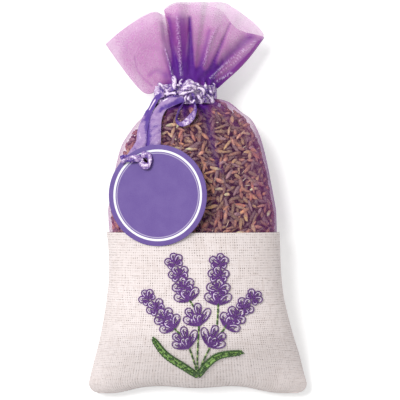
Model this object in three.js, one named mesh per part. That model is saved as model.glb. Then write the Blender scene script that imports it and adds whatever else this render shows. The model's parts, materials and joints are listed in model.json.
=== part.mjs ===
// Lavender sachet lying on its back, in millimetres.
// X runs across the bag, Y from the bottom seam to the frill, Z up from the table.
import * as THREE from 'three';

// Bag lengths, from the tips of the bottom corners up to the rim of the frill
const pocketLength = 61.8;
const pouchLength = 48.9;
const neckBandLength = 6.6;
const frillLength = 32.7;

// Bag widths
const cornerWidth = 84;
const hemWidth = 65.3;
const neckWidth = 23.4;
const frillWidth = 60.3;

// Bag depths and heights above the table
const bagDepth = 30;
const neckDepth = 13;
const cornerSeamHeight = 5;
const sideSeamHeight = 12;
const neckHeight = 14;
const rimHeight = 8.5;
const rimFrontRise = 5.7;
const rimBackDrop = 3;
const seamLip = 1.4;
const backDepth = 15.4;

// Cloth
const linenThickness = 0.8;
const organzaThickness = 0.5;
const layerGap = 0.3;
const tuckLength = 6;
const backStepLength = 8;

// How the filled pocket closes towards its bottom seam
const closingLength = 24;
const cornerDrop = 3.4;
const cornerDropReach = 14;
const cornerDropShares = [0.42, 0.8];
const cornerRound = 3.5;
const flarePower = 1.8;

// How the filled pouch narrows to the neck
const shoulderPower = 11;
const taperShare = 0.33;
const taperPower = 1.5;
const depthTaperPower = 2.6;

// How far the pouch and the neck lean to the left, and where the lean sets in
const pouchLean = -2.7;
const neckLean = -4.75;
const leanStart = -32;
const leanEnd = 12;
const neckLeanReach = 6;

// Roundness of the cross-section: flat at the corners, full in the middle
const cornerPower = 1.6;
const middlePower = 0.9;
const cornerPowerReach = 34;

// Gathers: their crests and valleys in turn, as shares of the half width from the middle
const foldShares = [-1, -0.7, -0.45, -0.217, -0.091, 0.065, 0.21, 0.3, 0.41, 0.58, 0.69, 0.79, 0.91, 1];
const neckFold = 0.8;
const frillFold = 1.2;
const gatherReach = 13;

// Frill: two lobes with a notch between them. Each row of the rim's table gives the place
// across, the drop from the top of the frill, the front's rise and the back's drop, all as shares
const frillMiddle = -4.95;
const tipDrop = 14;
const rimShares = [
  [-1, 1.16, 0, 0], [-0.76, 0.77, 0.35, 0.7], [-0.53, 0.43, 0.55, 1], [-0.38, 0.28, 0.55, 0.95],
  [-0.3, 0.42, 0.45, 0.7], [-0.22, 0.12, 0.95, 0.2], [-0.06, 0.02, 1, 0.1], [0.21, 0, 0.82, 0.35],
  [0.42, 0, 0.88, 0.5], [0.6, 0.12, 0.7, 0.6], [0.76, 0.38, 0.5, 0.6], [0.9, 0.62, 0.26, 0.45],
  [1, 0.95, 0, 0],
];

// Lower edges of the frill from the neck to its tips, as shares of the way across and up
const leftEdgeShares = [[0, 0], [0.1, 0.02], [0.28, 0.02], [0.48, 0.19], [0.74, 0.6], [1, 1]];
const rightEdgeShares = [[0, 0], [0.1, 0.01], [0.28, 0.11], [0.52, 0.36], [0.75, 0.63], [1, 1]];
const edgeReachShare = 0.6;

// Filling
const fillingGap = 0.55;
const fillingNeckGap = 2.5;
const fillingBottomGap = 1.6;
const fillingEndPower = 6;
const lumpDepth = 1.5;

// Ribbons
const ribbonWidth = 6;
const ribbonThickness = 0.5;
const knotWidth = 7;
const knotHeight = 5.4;
const knotDepth = 4.4;
const knotSquareness = 0.7;
const knotOffset = 2.2;
const loopLength = 11;
const loopWidth = 7.4;
const loopBandWidth = 3.4;
const loopOffset = 0.4;
const loopTilt = THREE.MathUtils.degToRad(-23);
const loopClearance = 0.8;

// Route of the two ribbon tails that hold the tag, from the knot to the hitch behind the tag:
// x, y, z of the middle line, the ribbon's visible width, and its sideways slope
const rightTail = [
  [-5.9, 37.9, 21.0, 3.2, 0], [-10.2, 36.9, 20.5, 3.6, -0.15], [-13.2, 34.6, 20.0, 4.0, -0.7],
  [-15.4, 30.5, 21.9, 4.6, -0.4], [-16.0, 25.5, 24.0, 5.2, -0.25], [-16.1, 20.5, 25.7, 5.4, -0.22],
  [-17.3, 16.4, 26.5, 4.6, -0.22], [-19.2, 14.0, 26.6, 3.4, -0.2],
];
const leftTail = [
  [-15.4, 38.0, 17.3, 3.0, -1.1], [-17.7, 34.6, 17.6, 3.2, -1.2], [-20.4, 30.5, 20.1, 4.4, -0.8],
  [-21.9, 25.5, 22.2, 5.0, -0.5], [-22.1, 20.5, 23.9, 5.2, -0.36],
  [-23.9, 16.4, 24.8, 4.6, -0.28], [-26.0, 14.2, 24.9, 3.4, -0.2],
];

// Tag
const tagRadius = 19;
const tagThickness = 0.5;
const tagTilt = THREE.MathUtils.degToRad(14);
const tagMiddleX = -15.1;
const tagMiddleY = 0.8;
const holeRadius = 2;
const holeX = -4.5;
const holeY = 13.7;
const hitchWidth = 3;
const bightWidth = 2.6;
const bightReach = 3.4;

// Embroidery: raised satin stitch on the front of the pocket
const threadHeight = 0.5;
const leafWidth = 3.2;
const headEndShare = 0.16;
const scallopShare = 0.12;
const scallopsPerHead = 4;

// Mesh fineness
const linenColumns = 22;
const organzaColumns = 36;
const pocketRows = 11;
const pouchRows = 9;
const bandRows = 2;
const frillRows = 7;
const fillingColumns = 42;
const fillingRows = 34;
const tailRows = 20;
const ribbonColumns = 2;
const roundSegments = 48;
const knotColumns = 16;
const knotRows = 10;
const headRows = 12;
const headColumns = 3;
const leafRows = 10;
const bightRows = 10;

// Stations along the bag
const bagLength = pocketLength + pouchLength + neckBandLength + frillLength;
const bottomY = -bagLength / 2;
const seamY = bottomY + cornerDrop;
const hemY = bottomY + pocketLength;
const tuckY = hemY - tuckLength;
const neckLowY = hemY + pouchLength;
const neckTopY = neckLowY + neckBandLength;
const neckMiddleY = (neckLowY + neckTopY) / 2;
const topY = neckTopY + frillLength;

// Depth of each layer under the outside of the linen
const organzaInset = linenThickness + layerGap;
const organzaInnerInset = organzaInset + organzaThickness;
const fillingInset = organzaInnerInset + fillingGap;

// The organza at the neck lies inside the ribbon that ties it
const tieDepth = ribbonThickness + layerGap + neckFold;
const neckHalfWidth = neckWidth / 2 - tieDepth + organzaInset;
const neckRise = neckDepth / 2 - tieDepth + organzaInset;

const smooth = THREE.MathUtils.smoothstep;
const mix = THREE.MathUtils.lerp;
const share = (value, from, to) => THREE.MathUtils.clamp((value - from) / (to - from), 0, 1);
const pouchShare = (y) => share(y, hemY, neckLowY);

function halfWidth(y) {
  const flare = (1 - share(y, seamY + cornerRound, hemY)) ** flarePower;
  const corner = 1 - share(y, seamY, seamY + cornerRound);
  const rounding = cornerRound * (1 - Math.sqrt(1 - corner ** 2));
  const t = pouchShare(y);
  const shoulder = (1 - t ** shoulderPower) * (1 - taperShare * t ** taperPower);
  const pouch = mix(neckHalfWidth, hemWidth / 2, shoulder);
  return pouch + (cornerWidth - hemWidth) / 2 * flare - rounding;
}

function leanAt(y) {
  const lean = pouchLean * smooth(y, leanStart, leanEnd);
  return lean + (neckLean - pouchLean) * smooth(y, neckLowY - neckLeanReach, neckLowY);
}

function seamHeight(y) {
  const low = mix(cornerSeamHeight, sideSeamHeight, smooth(y, seamY, seamY + closingLength));
  return mix(low, neckHeight, smooth(y, hemY, neckLowY));
}

// Rise of the cloth above or below the side seam, at the middle of the bag
function riseAt(side, y) {
  const fullest = side > 0 ? bagDepth - sideSeamHeight : backDepth;
  const t = pouchShare(y) ** depthTaperPower;
  const closing = share(y, seamY, seamY + closingLength);
  const round = Math.sqrt(1 - (1 - closing) ** 2);
  return mix(seamLip, mix(fullest, neckRise, t), round);
}

const sectionPower = (y) => mix(cornerPower, middlePower, smooth(y, seamY, seamY + cornerPowerReach));
const gatherAt = (y) => neckFold * smooth(y, neckLowY - gatherReach, neckLowY);

// The row of a table before a place, and how far the place lies on the way to the next row
function tablePlace(places, value) {
  let row = 0;
  while (row < places.length - 2 && value > places[row + 1]) row += 1;
  return [row, share(value, places[row], places[row + 1])];
}

// 1 on a crest of the gathers and -1 in a valley
function foldWave(angle) {
  const [row, part] = tablePlace(foldShares, Math.cos(angle));
  return Math.cos(Math.PI * (row + part));
}

// The table flattens the back; the organza steps down to it above the linen hem
function restLevel(inset, y) {
  const step = Math.min(inset, organzaInset) * smooth(y, hemY, hemY + backStepLength);
  return inset - step;
}

// A point of the bag's cloth: angle 0 is the right side seam and pi the left one
function bagPoint(side, angle, y, inset, fold) {
  const rise = (riseAt(side, y) - inset) * Math.sin(angle) ** sectionPower(y);
  const x = leanAt(y) + (halfWidth(y) - inset + fold) * Math.cos(angle);
  const z = seamHeight(y) + side * (layerGap / 2 + rise + fold * Math.sin(angle));
  const cornerShare = smooth(Math.abs(Math.cos(angle)), ...cornerDropShares);
  const drop = cornerDrop * cornerShare * (1 - smooth(y, seamY, seamY + cornerDropReach));
  return new THREE.Vector3(x, y - drop, Math.max(z, restLevel(inset, y)));
}

// A value of the rim's table at a place across the frill
function rimValue(q, column) {
  const [row, part] = tablePlace(rimShares.map(([place]) => place), q);
  return mix(rimShares[row][column], rimShares[row + 1][column], part);
}

// How far a curved edge lies from the straight way to its tip, as shares of that way
function edgeBend(shares, t) {
  const edge = new THREE.SplineCurve(shares.map(([across, up]) => new THREE.Vector2(across, up)));
  return edge.getPoint(t).subScalar(t);
}

// A point of the frill, which fans out from the neck to its rim
function frillPoint(side, angle, t, inset) {
  const q = Math.cos(angle);
  const start = bagPoint(side, angle, neckTopY, inset, 0);
  const cloth = inset - organzaInset;
  const height = side > 0 ? rimFrontRise * rimValue(q, 2) : rimBackDrop * rimValue(q, 3);
  const rise = height - cloth * Math.sin(angle) ** middlePower;
  const rimX = frillMiddle + (frillWidth / 2 - cloth) * q;
  const rimY = topY - tipDrop * rimValue(q, 1);
  const rim = new THREE.Vector3(rimX, rimY, rimHeight + side * (layerGap / 2 + rise));
  const way = rim.clone().sub(start);
  const bend = edgeBend(q < 0 ? leftEdgeShares : rightEdgeShares, t);
  const near = smooth(Math.abs(q), 1 - edgeReachShare, 1);
  const gather = neckFold * (1 - t) ** 2 * foldWave(angle);
  const flute = frillFold * t * foldWave(angle) * Math.sin(angle) ** 2;
  const point = start.lerp(rim, t);
  point.x += gather * q + way.x * bend.x * near;
  point.y += way.y * bend.y * near;
  point.z += side * gather * Math.sin(angle) + flute;
  return point;
}

// A thick sheet: place gives the point for shares across and along, on its outer or inner face
function thickSheet(columns, rows, place) {
  const geometry = new THREE.BoxGeometry(1, 1, 1, columns, rows, 1);
  const position = geometry.attributes.position;
  for (let i = 0; i < position.count; i += 1) {
    const across = position.getX(i) + 1 / 2;
    const along = position.getY(i) + 1 / 2;
    const point = place(across, along, position.getZ(i) > 0);
    position.setXYZ(i, point.x, point.y, point.z);
  }
  geometry.computeVertexNormals();
  return geometry;
}

const panelAngle = (side, across) => Math.PI * (side > 0 ? 1 - across : across);

function linenPanel(side) {
  return thickSheet(linenColumns, pocketRows, (across, along, outside) => {
    const y = mix(seamY, hemY, 1 - Math.cos(along * Math.PI / 2));
    return bagPoint(side, panelAngle(side, across), y, outside ? 0 : linenThickness, 0);
  });
}

function organzaPanel(side) {
  const rows = pouchRows + bandRows + frillRows;
  return thickSheet(organzaColumns, rows, (across, along, outside) => {
    const angle = panelAngle(side, across);
    const inset = outside ? organzaInset : organzaInnerInset;
    const row = along * rows;
    if (row > pouchRows + bandRows) {
      return frillPoint(side, angle, (row - pouchRows - bandRows) / frillRows, inset);
    }
    const pouchRow = Math.min(row / pouchRows, 1);
    const bandRow = share(row, pouchRows, pouchRows + bandRows);
    const y = mix(tuckY, neckLowY, Math.sin(pouchRow * Math.PI / 2)) + neckBandLength * bandRow;
    return bagPoint(side, angle, y, inset, gatherAt(y) * foldWave(angle));
  });
}

// The dried lavender fills the bag up to the neck, in lumps of buds where the organza shows it
function fillingBody() {
  const geometry = new THREE.SphereGeometry(1, fillingColumns, fillingRows);
  const position = geometry.attributes.position;
  const low = seamY + fillingBottomGap;
  const high = neckLowY - fillingNeckGap;
  for (let i = 0; i < position.count; i += 1) {
    const unit = new THREE.Vector3().fromBufferAttribute(position, i);
    const polar = Math.acos(THREE.MathUtils.clamp(unit.y, -1, 1));
    const turn = Math.atan2(unit.z, unit.x);
    const along = 1 - polar / Math.PI;
    const y = mix(low, high, along);
    const end = Math.sqrt(Math.max(1 - Math.abs(2 * along - 1) ** fillingEndPower, 0));
    const lump = Math.cos(turn * fillingColumns / 2) * Math.cos(polar * fillingRows);
    const depth = lumpDepth * (1 - lump) / 2 * smooth(y, tuckY, hemY) * end;
    const side = unit.z < 0 ? -1 : 1;
    const angle = Math.abs(turn);
    const inset = fillingInset + gatherAt(y) + depth;
    const rise = (riseAt(side, y) - inset) * Math.sin(angle) ** sectionPower(y);
    const x = leanAt(y) + (halfWidth(y) - inset) * Math.cos(angle) * end;
    const z = Math.max(seamHeight(y) + side * rise * end, restLevel(fillingInset, y));
    position.setXYZ(i, x, y, z);
  }
  geometry.computeVertexNormals();
  return geometry;
}

// Height of the bag's front at a place in plan
function frontHeight(x, y) {
  const inset = y > hemY ? organzaInset - gatherAt(y) : 0;
  const q = THREE.MathUtils.clamp((x - leanAt(y)) / (halfWidth(y) - inset), -1, 1);
  const rise = (riseAt(1, y) - inset) * Math.sqrt(1 - q * q) ** sectionPower(y);
  return seamHeight(y) + layerGap / 2 + rise;
}

// A point that stands off the bag's front by a level, square to the surface
function drape(x, y, level) {
  const probe = linenThickness;
  const slopeX = (frontHeight(x + probe, y) - frontHeight(x - probe, y)) / (2 * probe);
  const slopeY = (frontHeight(x, y + probe) - frontHeight(x, y - probe)) / (2 * probe);
  const normal = new THREE.Vector3(-slopeX, -slopeY, 1).normalize();
  return new THREE.Vector3(x, y, frontHeight(x, y)).addScaledVector(normal, level);
}

const linen = new THREE.MeshStandardMaterial({ color: 0xeadfd9, roughness: 0.95, metalness: 0 });
const organza = new THREE.MeshStandardMaterial({ color: 0x8b5bab, roughness: 0.55, metalness: 0 });
const lavender = new THREE.MeshStandardMaterial({ color: 0x886160, roughness: 0.95, metalness: 0 });
const satin = new THREE.MeshStandardMaterial({ color: 0xaf96c6, roughness: 0.4, metalness: 0 });
const card = new THREE.MeshStandardMaterial({ color: 0x856fae, roughness: 0.6, metalness: 0 });
const violetThread = new THREE.MeshStandardMaterial({ color: 0x5a2882, roughness: 0.5, metalness: 0 });
const greenThread = new THREE.MeshStandardMaterial({ color: 0x4f8a34, roughness: 0.5, metalness: 0 });

const sachet = new THREE.Group();

function add(parent, name, geometry, material) {
  const mesh = new THREE.Mesh(geometry, material);
  mesh.name = name;
  parent.add(mesh);
  return mesh;
}

add(sachet, 'linen_front', linenPanel(1), linen);
add(sachet, 'linen_back', linenPanel(-1), linen);
add(sachet, 'organza_front', organzaPanel(1), organza);
add(sachet, 'organza_back', organzaPanel(-1), organza);
add(sachet, 'lavender_filling', fillingBody(), lavender);

// An outline with a hole, pushed out along Y
function bandAlongY(outline, hole, width) {
  outline.holes.push(hole);
  const options = { depth: width, bevelEnabled: false, curveSegments: roundSegments };
  return new THREE.ExtrudeGeometry(outline, options).rotateX(Math.PI / 2);
}

// The ribbon that ties the neck, a band round the gathers
function neckRibbon() {
  const outside = new THREE.Shape();
  const inside = new THREE.Path();
  const inset = ribbonThickness;
  outside.absellipse(0, 0, neckWidth / 2, neckDepth / 2, 0, 2 * Math.PI);
  inside.absellipse(0, 0, neckWidth / 2 - inset, neckDepth / 2 - inset, 0, 2 * Math.PI);
  return bandAlongY(outside, inside, ribbonWidth);
}

const tie = add(sachet, 'neck_ribbon', neckRibbon(), satin);
tie.position.set(neckLean, neckMiddleY + ribbonWidth / 2, neckHeight);

// The knot sits on the front of the neck ribbon
function knotBody() {
  const geometry = new THREE.SphereGeometry(1, knotColumns, knotRows);
  const position = geometry.attributes.position;
  const square = (value) => Math.sign(value) * Math.abs(value) ** knotSquareness;
  for (let i = 0; i < position.count; i += 1) {
    const unit = new THREE.Vector3().fromBufferAttribute(position, i);
    position.setXYZ(i, square(unit.x), square(unit.y), square(unit.z));
  }
  geometry.scale(knotWidth / 2, knotHeight / 2, knotDepth / 2);
  geometry.computeVertexNormals();
  return geometry;
}

const knot = add(sachet, 'ribbon_knot', knotBody(), satin);
const knotX = neckLean + knotOffset;
const tieTop = neckHeight + neckDepth / 2;
knot.position.set(knotX, neckMiddleY, tieTop + layerGap + knotDepth / 2);

// A loop of ribbon under the knot, standing on its edge against the pouch
function loopBand() {
  const drop = (size) => {
    const half = loopWidth / 2 + size;
    const top = size;
    const low = -loopLength - size;
    const outline = new THREE.Shape();
    outline.moveTo(0, top);
    outline.bezierCurveTo(-half, top, -half - loopWidth / 4, low, 0, low);
    outline.bezierCurveTo(half + loopWidth / 4, low, half, top, 0, top);
    return outline;
  };
  const outline = drop(0);
  outline.holes.push(drop(-ribbonThickness));
  const options = { depth: loopBandWidth, bevelEnabled: false, curveSegments: roundSegments / 4 };
  return new THREE.ExtrudeGeometry(outline, options);
}

const loop = add(sachet, 'ribbon_loop', loopBand(), satin);
const loopRise = loopBandWidth * Math.sin(loopTilt);
const loopY = neckMiddleY - knotHeight / 2 - layerGap + loopRise;
loop.position.set(knotX - loopOffset, loopY, frontHeight(knotX, loopY) + loopClearance);
loop.rotation.x = loopTilt;

// A ribbon tail along its route, with its own width and sideways slope at each place
function ribbonTail(route) {
  const places = route.map(([x, y, z]) => new THREE.Vector3(x, y, z));
  const shapes = route.map(([, , , width, slope]) => new THREE.Vector3(width, slope, 0));
  const middle = new THREE.CatmullRomCurve3(places);
  const shape = new THREE.CatmullRomCurve3(shapes);
  return thickSheet(ribbonColumns, tailRows, (across, along, outside) => {
    const tangent = middle.getTangent(along);
    const { x: width, y: slope } = shape.getPoint(along);
    const flat = new THREE.Vector3(tangent.y, -tangent.x, 0).normalize();
    const side = flat.setZ(slope).normalize();
    const normal = new THREE.Vector3().crossVectors(side, tangent).normalize();
    const level = ribbonThickness / 2 * (outside ? 1 : -1);
    const point = middle.getPoint(along);
    return point.addScaledVector(side, (across - 1 / 2) * width).addScaledVector(normal, level);
  });
}

add(sachet, 'tag_ribbon_right', ribbonTail(rightTail), satin);
add(sachet, 'tag_ribbon_left', ribbonTail(leftTail), satin);

// The card tag rests on the highest line of the bag under its own slope
function tagSeat() {
  const slope = Math.tan(tagTilt);
  let seat = 0;
  for (let x = -hemWidth / 2; x < hemWidth / 2; x += linenThickness) {
    for (let y = seamY; y < neckLowY; y += linenThickness) {
      seat = Math.max(seat, frontHeight(x, y) - slope * (x - tagMiddleX));
    }
  }
  return seat + (layerGap + tagThickness / 2) / Math.cos(tagTilt);
}

const tag = new THREE.Group();
tag.position.set(tagMiddleX, tagMiddleY, tagSeat());
tag.rotation.y = -tagTilt;
sachet.add(tag);

function tagCard() {
  const disc = new THREE.Shape();
  disc.absarc(0, 0, tagRadius, 0, 2 * Math.PI);
  const hole = new THREE.Path();
  hole.absarc(holeX, holeY, holeRadius, 0, 2 * Math.PI);
  disc.holes.push(hole);
  const options = { depth: tagThickness, bevelEnabled: false, curveSegments: roundSegments };
  return new THREE.ExtrudeGeometry(disc, options).translate(0, 0, -tagThickness / 2);
}

add(tag, 'tag_card', tagCard(), card);

// The hitch: a band of ribbon through the hole and round the rim of the card
function rectangle(left, right, half, path) {
  path.moveTo(left, -half);
  path.lineTo(right, -half);
  path.lineTo(right, half);
  path.lineTo(left, half);
  path.closePath();
  return path;
}

function hitchBand() {
  const half = tagThickness / 2 + layerGap;
  const rim = -Math.sqrt(tagRadius ** 2 - (holeY - hitchWidth / 2) ** 2) - layerGap;
  const inHole = holeX - Math.sqrt(holeRadius ** 2 - (hitchWidth / 2) ** 2) + layerGap;
  const wall = ribbonThickness;
  const outside = rectangle(rim - wall, inHole + wall, half + wall, new THREE.Shape());
  const inside = rectangle(rim, inHole, half, new THREE.Path());
  return bandAlongY(outside, inside, hitchWidth);
}

const hitch = add(tag, 'tag_hitch', hitchBand(), satin);
hitch.position.y = holeY + hitchWidth / 2;

// The bight of the hitch crosses over its band beside the hole
function hitchBight() {
  const bandTop = tagThickness / 2 + layerGap + ribbonThickness;
  const low = tagThickness / 2 + layerGap;
  const high = bandTop + layerGap;
  return thickSheet(1, bightRows, (across, along, outside) => {
    const reach = (along - 1 / 2) * 2 * bightReach;
    const fall = smooth(Math.abs(reach), hitchWidth / 2 + layerGap, bightReach);
    const z = mix(high, low, fall) + (outside ? ribbonThickness : 0);
    return new THREE.Vector3((across - 1 / 2) * bightWidth, reach, z);
  });
}

const bight = add(tag, 'tag_hitch_bight', hitchBight(), satin);
bight.position.set(holeX - holeRadius - bightWidth / 2, holeY, 0);

// A place on the pocket: x as a share of the hem, y as a share of the pocket's height
function pocketPlace([xShare, yShare]) {
  return new THREE.Vector2(xShare * hemWidth, bottomY + yShare * pocketLength);
}

// A pad of satin stitch along a curved axis on the pocket
function stitchedPad(axis, rows, columns, widthAt) {
  return thickSheet(columns, rows, (across, along, outside) => {
    const middle = axis.getPoint(along);
    const way = axis.getTangent(along);
    const reach = (across - 1 / 2) * widthAt(along);
    const level = layerGap + (outside ? threadHeight : 0);
    return drape(middle.x + way.y * reach, middle.y - way.x * reach, level);
  });
}

// Flower heads from base to tip, with the width at the widest place as a share of the hem
const headShares = {
  flower_head_left_low: { base: [-0.146, 0.432], tip: [-0.296, 0.632], width: 0.105 },
  flower_head_left_high: { base: [-0.056, 0.578], tip: [-0.154, 0.872], width: 0.14 },
  flower_head_right_high: { base: [0.118, 0.552], tip: [0.122, 0.872], width: 0.14 },
  flower_head_right_low: { base: [0.176, 0.438], tip: [0.352, 0.626], width: 0.12 },
  flower_head_centre: { base: [0.004, 0.42], tip: [-0.006, 0.562], width: 0.14 },
  flower_head_bottom_left: { base: [-0.056, 0.272], tip: [-0.086, 0.418], width: 0.115 },
  flower_head_bottom_right: { base: [0.06, 0.278], tip: [0.11, 0.428], width: 0.13 },
};

function flowerHead({ base, tip, width }) {
  const axis = new THREE.LineCurve(pocketPlace(base), pocketPlace(tip));
  return stitchedPad(axis, headRows, headColumns, (along) => {
    const round = headEndShare + (1 - headEndShare) * Math.sin(Math.PI * along ** (1 / 2));
    const scallop = 1 - scallopShare * (1 + Math.cos(2 * Math.PI * scallopsPerHead * along)) / 2;
    return width * hemWidth * round * scallop;
  });
}

for (const [name, shares] of Object.entries(headShares)) {
  add(sachet, name, flowerHead(shares), violetThread);
}

const leafShares = {
  leaf_left: [[-0.02, 0.118], [-0.116, 0.192], [-0.205, 0.252], [-0.27, 0.353]],
  leaf_right: [[0.02, 0.118], [0.064, 0.2], [0.123, 0.236], [0.257, 0.26]],
};

function leaf(places) {
  const axis = new THREE.SplineCurve(places.map(pocketPlace));
  return stitchedPad(axis, leafRows, 1, (along) => {
    return leafWidth * (headEndShare + (1 - headEndShare) * Math.sin(Math.PI * along));
  });
}

for (const [name, places] of Object.entries(leafShares)) {
  add(sachet, name, leaf(places), greenThread);
}

export default sachet;
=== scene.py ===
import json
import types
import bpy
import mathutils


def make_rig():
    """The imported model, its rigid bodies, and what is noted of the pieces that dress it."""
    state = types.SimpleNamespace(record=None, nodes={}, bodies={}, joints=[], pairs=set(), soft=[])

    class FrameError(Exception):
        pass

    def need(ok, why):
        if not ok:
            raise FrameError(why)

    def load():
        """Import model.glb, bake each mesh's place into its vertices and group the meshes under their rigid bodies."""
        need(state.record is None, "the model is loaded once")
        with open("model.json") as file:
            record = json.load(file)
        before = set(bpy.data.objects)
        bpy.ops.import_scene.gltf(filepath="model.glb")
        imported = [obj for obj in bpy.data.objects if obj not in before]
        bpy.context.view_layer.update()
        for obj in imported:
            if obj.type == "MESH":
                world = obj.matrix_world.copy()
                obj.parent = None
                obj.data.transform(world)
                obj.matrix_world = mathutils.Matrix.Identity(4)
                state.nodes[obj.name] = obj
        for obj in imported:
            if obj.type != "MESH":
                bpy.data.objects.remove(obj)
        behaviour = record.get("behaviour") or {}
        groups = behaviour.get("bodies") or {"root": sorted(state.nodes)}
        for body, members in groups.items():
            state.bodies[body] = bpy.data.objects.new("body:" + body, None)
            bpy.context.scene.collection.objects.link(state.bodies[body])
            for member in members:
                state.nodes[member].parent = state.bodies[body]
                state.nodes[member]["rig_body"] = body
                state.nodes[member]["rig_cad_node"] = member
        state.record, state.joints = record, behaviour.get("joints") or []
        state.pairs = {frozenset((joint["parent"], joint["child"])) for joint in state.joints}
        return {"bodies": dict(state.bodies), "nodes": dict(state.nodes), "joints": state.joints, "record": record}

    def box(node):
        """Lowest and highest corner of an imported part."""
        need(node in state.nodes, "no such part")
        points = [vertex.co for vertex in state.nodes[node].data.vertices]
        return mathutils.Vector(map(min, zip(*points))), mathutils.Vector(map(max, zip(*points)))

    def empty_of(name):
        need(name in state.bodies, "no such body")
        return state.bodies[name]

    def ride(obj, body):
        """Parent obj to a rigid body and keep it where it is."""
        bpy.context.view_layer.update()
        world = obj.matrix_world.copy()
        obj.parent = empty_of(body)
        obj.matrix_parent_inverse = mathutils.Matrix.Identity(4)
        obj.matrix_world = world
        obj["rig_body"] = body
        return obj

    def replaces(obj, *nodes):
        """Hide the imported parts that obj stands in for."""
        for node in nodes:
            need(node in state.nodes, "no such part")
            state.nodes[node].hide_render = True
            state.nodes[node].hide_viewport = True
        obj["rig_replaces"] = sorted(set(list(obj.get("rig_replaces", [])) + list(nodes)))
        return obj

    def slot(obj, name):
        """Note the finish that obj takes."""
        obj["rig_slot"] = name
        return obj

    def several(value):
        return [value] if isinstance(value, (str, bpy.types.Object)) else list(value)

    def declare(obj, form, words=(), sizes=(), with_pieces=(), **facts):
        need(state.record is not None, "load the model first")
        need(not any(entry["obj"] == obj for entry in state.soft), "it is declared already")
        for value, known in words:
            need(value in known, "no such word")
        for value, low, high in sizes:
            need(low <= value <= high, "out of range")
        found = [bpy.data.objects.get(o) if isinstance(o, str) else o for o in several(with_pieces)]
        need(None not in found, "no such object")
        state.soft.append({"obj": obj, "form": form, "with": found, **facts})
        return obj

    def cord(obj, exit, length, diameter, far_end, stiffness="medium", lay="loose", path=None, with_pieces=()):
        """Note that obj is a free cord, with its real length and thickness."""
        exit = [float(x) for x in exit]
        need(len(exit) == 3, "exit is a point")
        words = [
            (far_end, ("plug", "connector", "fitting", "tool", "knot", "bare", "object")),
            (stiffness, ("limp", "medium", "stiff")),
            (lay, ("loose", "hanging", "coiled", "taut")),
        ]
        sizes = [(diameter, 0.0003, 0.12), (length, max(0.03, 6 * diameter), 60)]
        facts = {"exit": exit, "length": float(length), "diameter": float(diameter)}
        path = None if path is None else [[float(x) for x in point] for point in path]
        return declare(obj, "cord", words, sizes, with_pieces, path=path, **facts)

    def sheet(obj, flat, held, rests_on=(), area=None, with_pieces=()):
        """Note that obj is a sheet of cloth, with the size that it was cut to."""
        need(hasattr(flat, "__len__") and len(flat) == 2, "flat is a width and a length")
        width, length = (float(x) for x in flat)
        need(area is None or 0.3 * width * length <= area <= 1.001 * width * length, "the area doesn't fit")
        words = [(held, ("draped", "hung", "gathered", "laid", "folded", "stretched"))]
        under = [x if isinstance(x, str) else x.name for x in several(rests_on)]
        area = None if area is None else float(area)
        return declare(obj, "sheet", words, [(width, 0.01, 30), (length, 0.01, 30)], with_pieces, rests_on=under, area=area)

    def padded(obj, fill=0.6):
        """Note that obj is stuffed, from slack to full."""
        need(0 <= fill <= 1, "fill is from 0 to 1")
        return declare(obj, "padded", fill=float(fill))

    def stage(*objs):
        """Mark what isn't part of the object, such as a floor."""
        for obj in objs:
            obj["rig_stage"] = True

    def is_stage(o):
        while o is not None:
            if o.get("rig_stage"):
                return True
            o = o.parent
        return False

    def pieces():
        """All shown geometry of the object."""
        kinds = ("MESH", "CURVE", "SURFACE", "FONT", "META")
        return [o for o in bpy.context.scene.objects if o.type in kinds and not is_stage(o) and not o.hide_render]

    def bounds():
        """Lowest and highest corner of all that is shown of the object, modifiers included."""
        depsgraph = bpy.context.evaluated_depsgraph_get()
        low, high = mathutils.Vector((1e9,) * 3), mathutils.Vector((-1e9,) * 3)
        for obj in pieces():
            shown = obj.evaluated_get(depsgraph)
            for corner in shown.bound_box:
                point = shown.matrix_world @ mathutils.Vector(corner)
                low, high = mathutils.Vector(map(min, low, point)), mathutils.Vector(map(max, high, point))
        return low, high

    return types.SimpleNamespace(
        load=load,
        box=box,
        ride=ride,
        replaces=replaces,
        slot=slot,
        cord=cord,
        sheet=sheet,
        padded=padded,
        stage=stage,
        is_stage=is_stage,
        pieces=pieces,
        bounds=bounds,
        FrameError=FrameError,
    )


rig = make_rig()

bl_info = {
    "name": "Lavender Sachet",
    "version": (1, 0, 0),
    "blender": (4, 5, 0),
    "location": "View3D > Sidebar > Sachet",
    "description": "Builds a filled lavender sachet with its ribbons, swing tag and embroidery",
    "category": "Add Mesh",
}

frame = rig.load()

import json
import math
import random

import bmesh
import bpy
import numpy as np
from bpy.props import FloatProperty, FloatVectorProperty, IntProperty, PointerProperty
from bpy.types import Operator, Panel, PropertyGroup
from mathutils import Matrix, Vector, noise

CAD_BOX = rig.bounds()
MM = 0.001
CLOTH_UV = "cloth"
SIZE_FILE = "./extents.json"


# Properties

def length(name, millimetres, text):
    return FloatProperty(name=name, description=text, default=millimetres * MM, unit="LENGTH", precision=5)


def colour(name, value, text):
    return FloatVectorProperty(
        name=name, description=text, default=value, size=3, min=0, max=1, subtype="COLOR")


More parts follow.
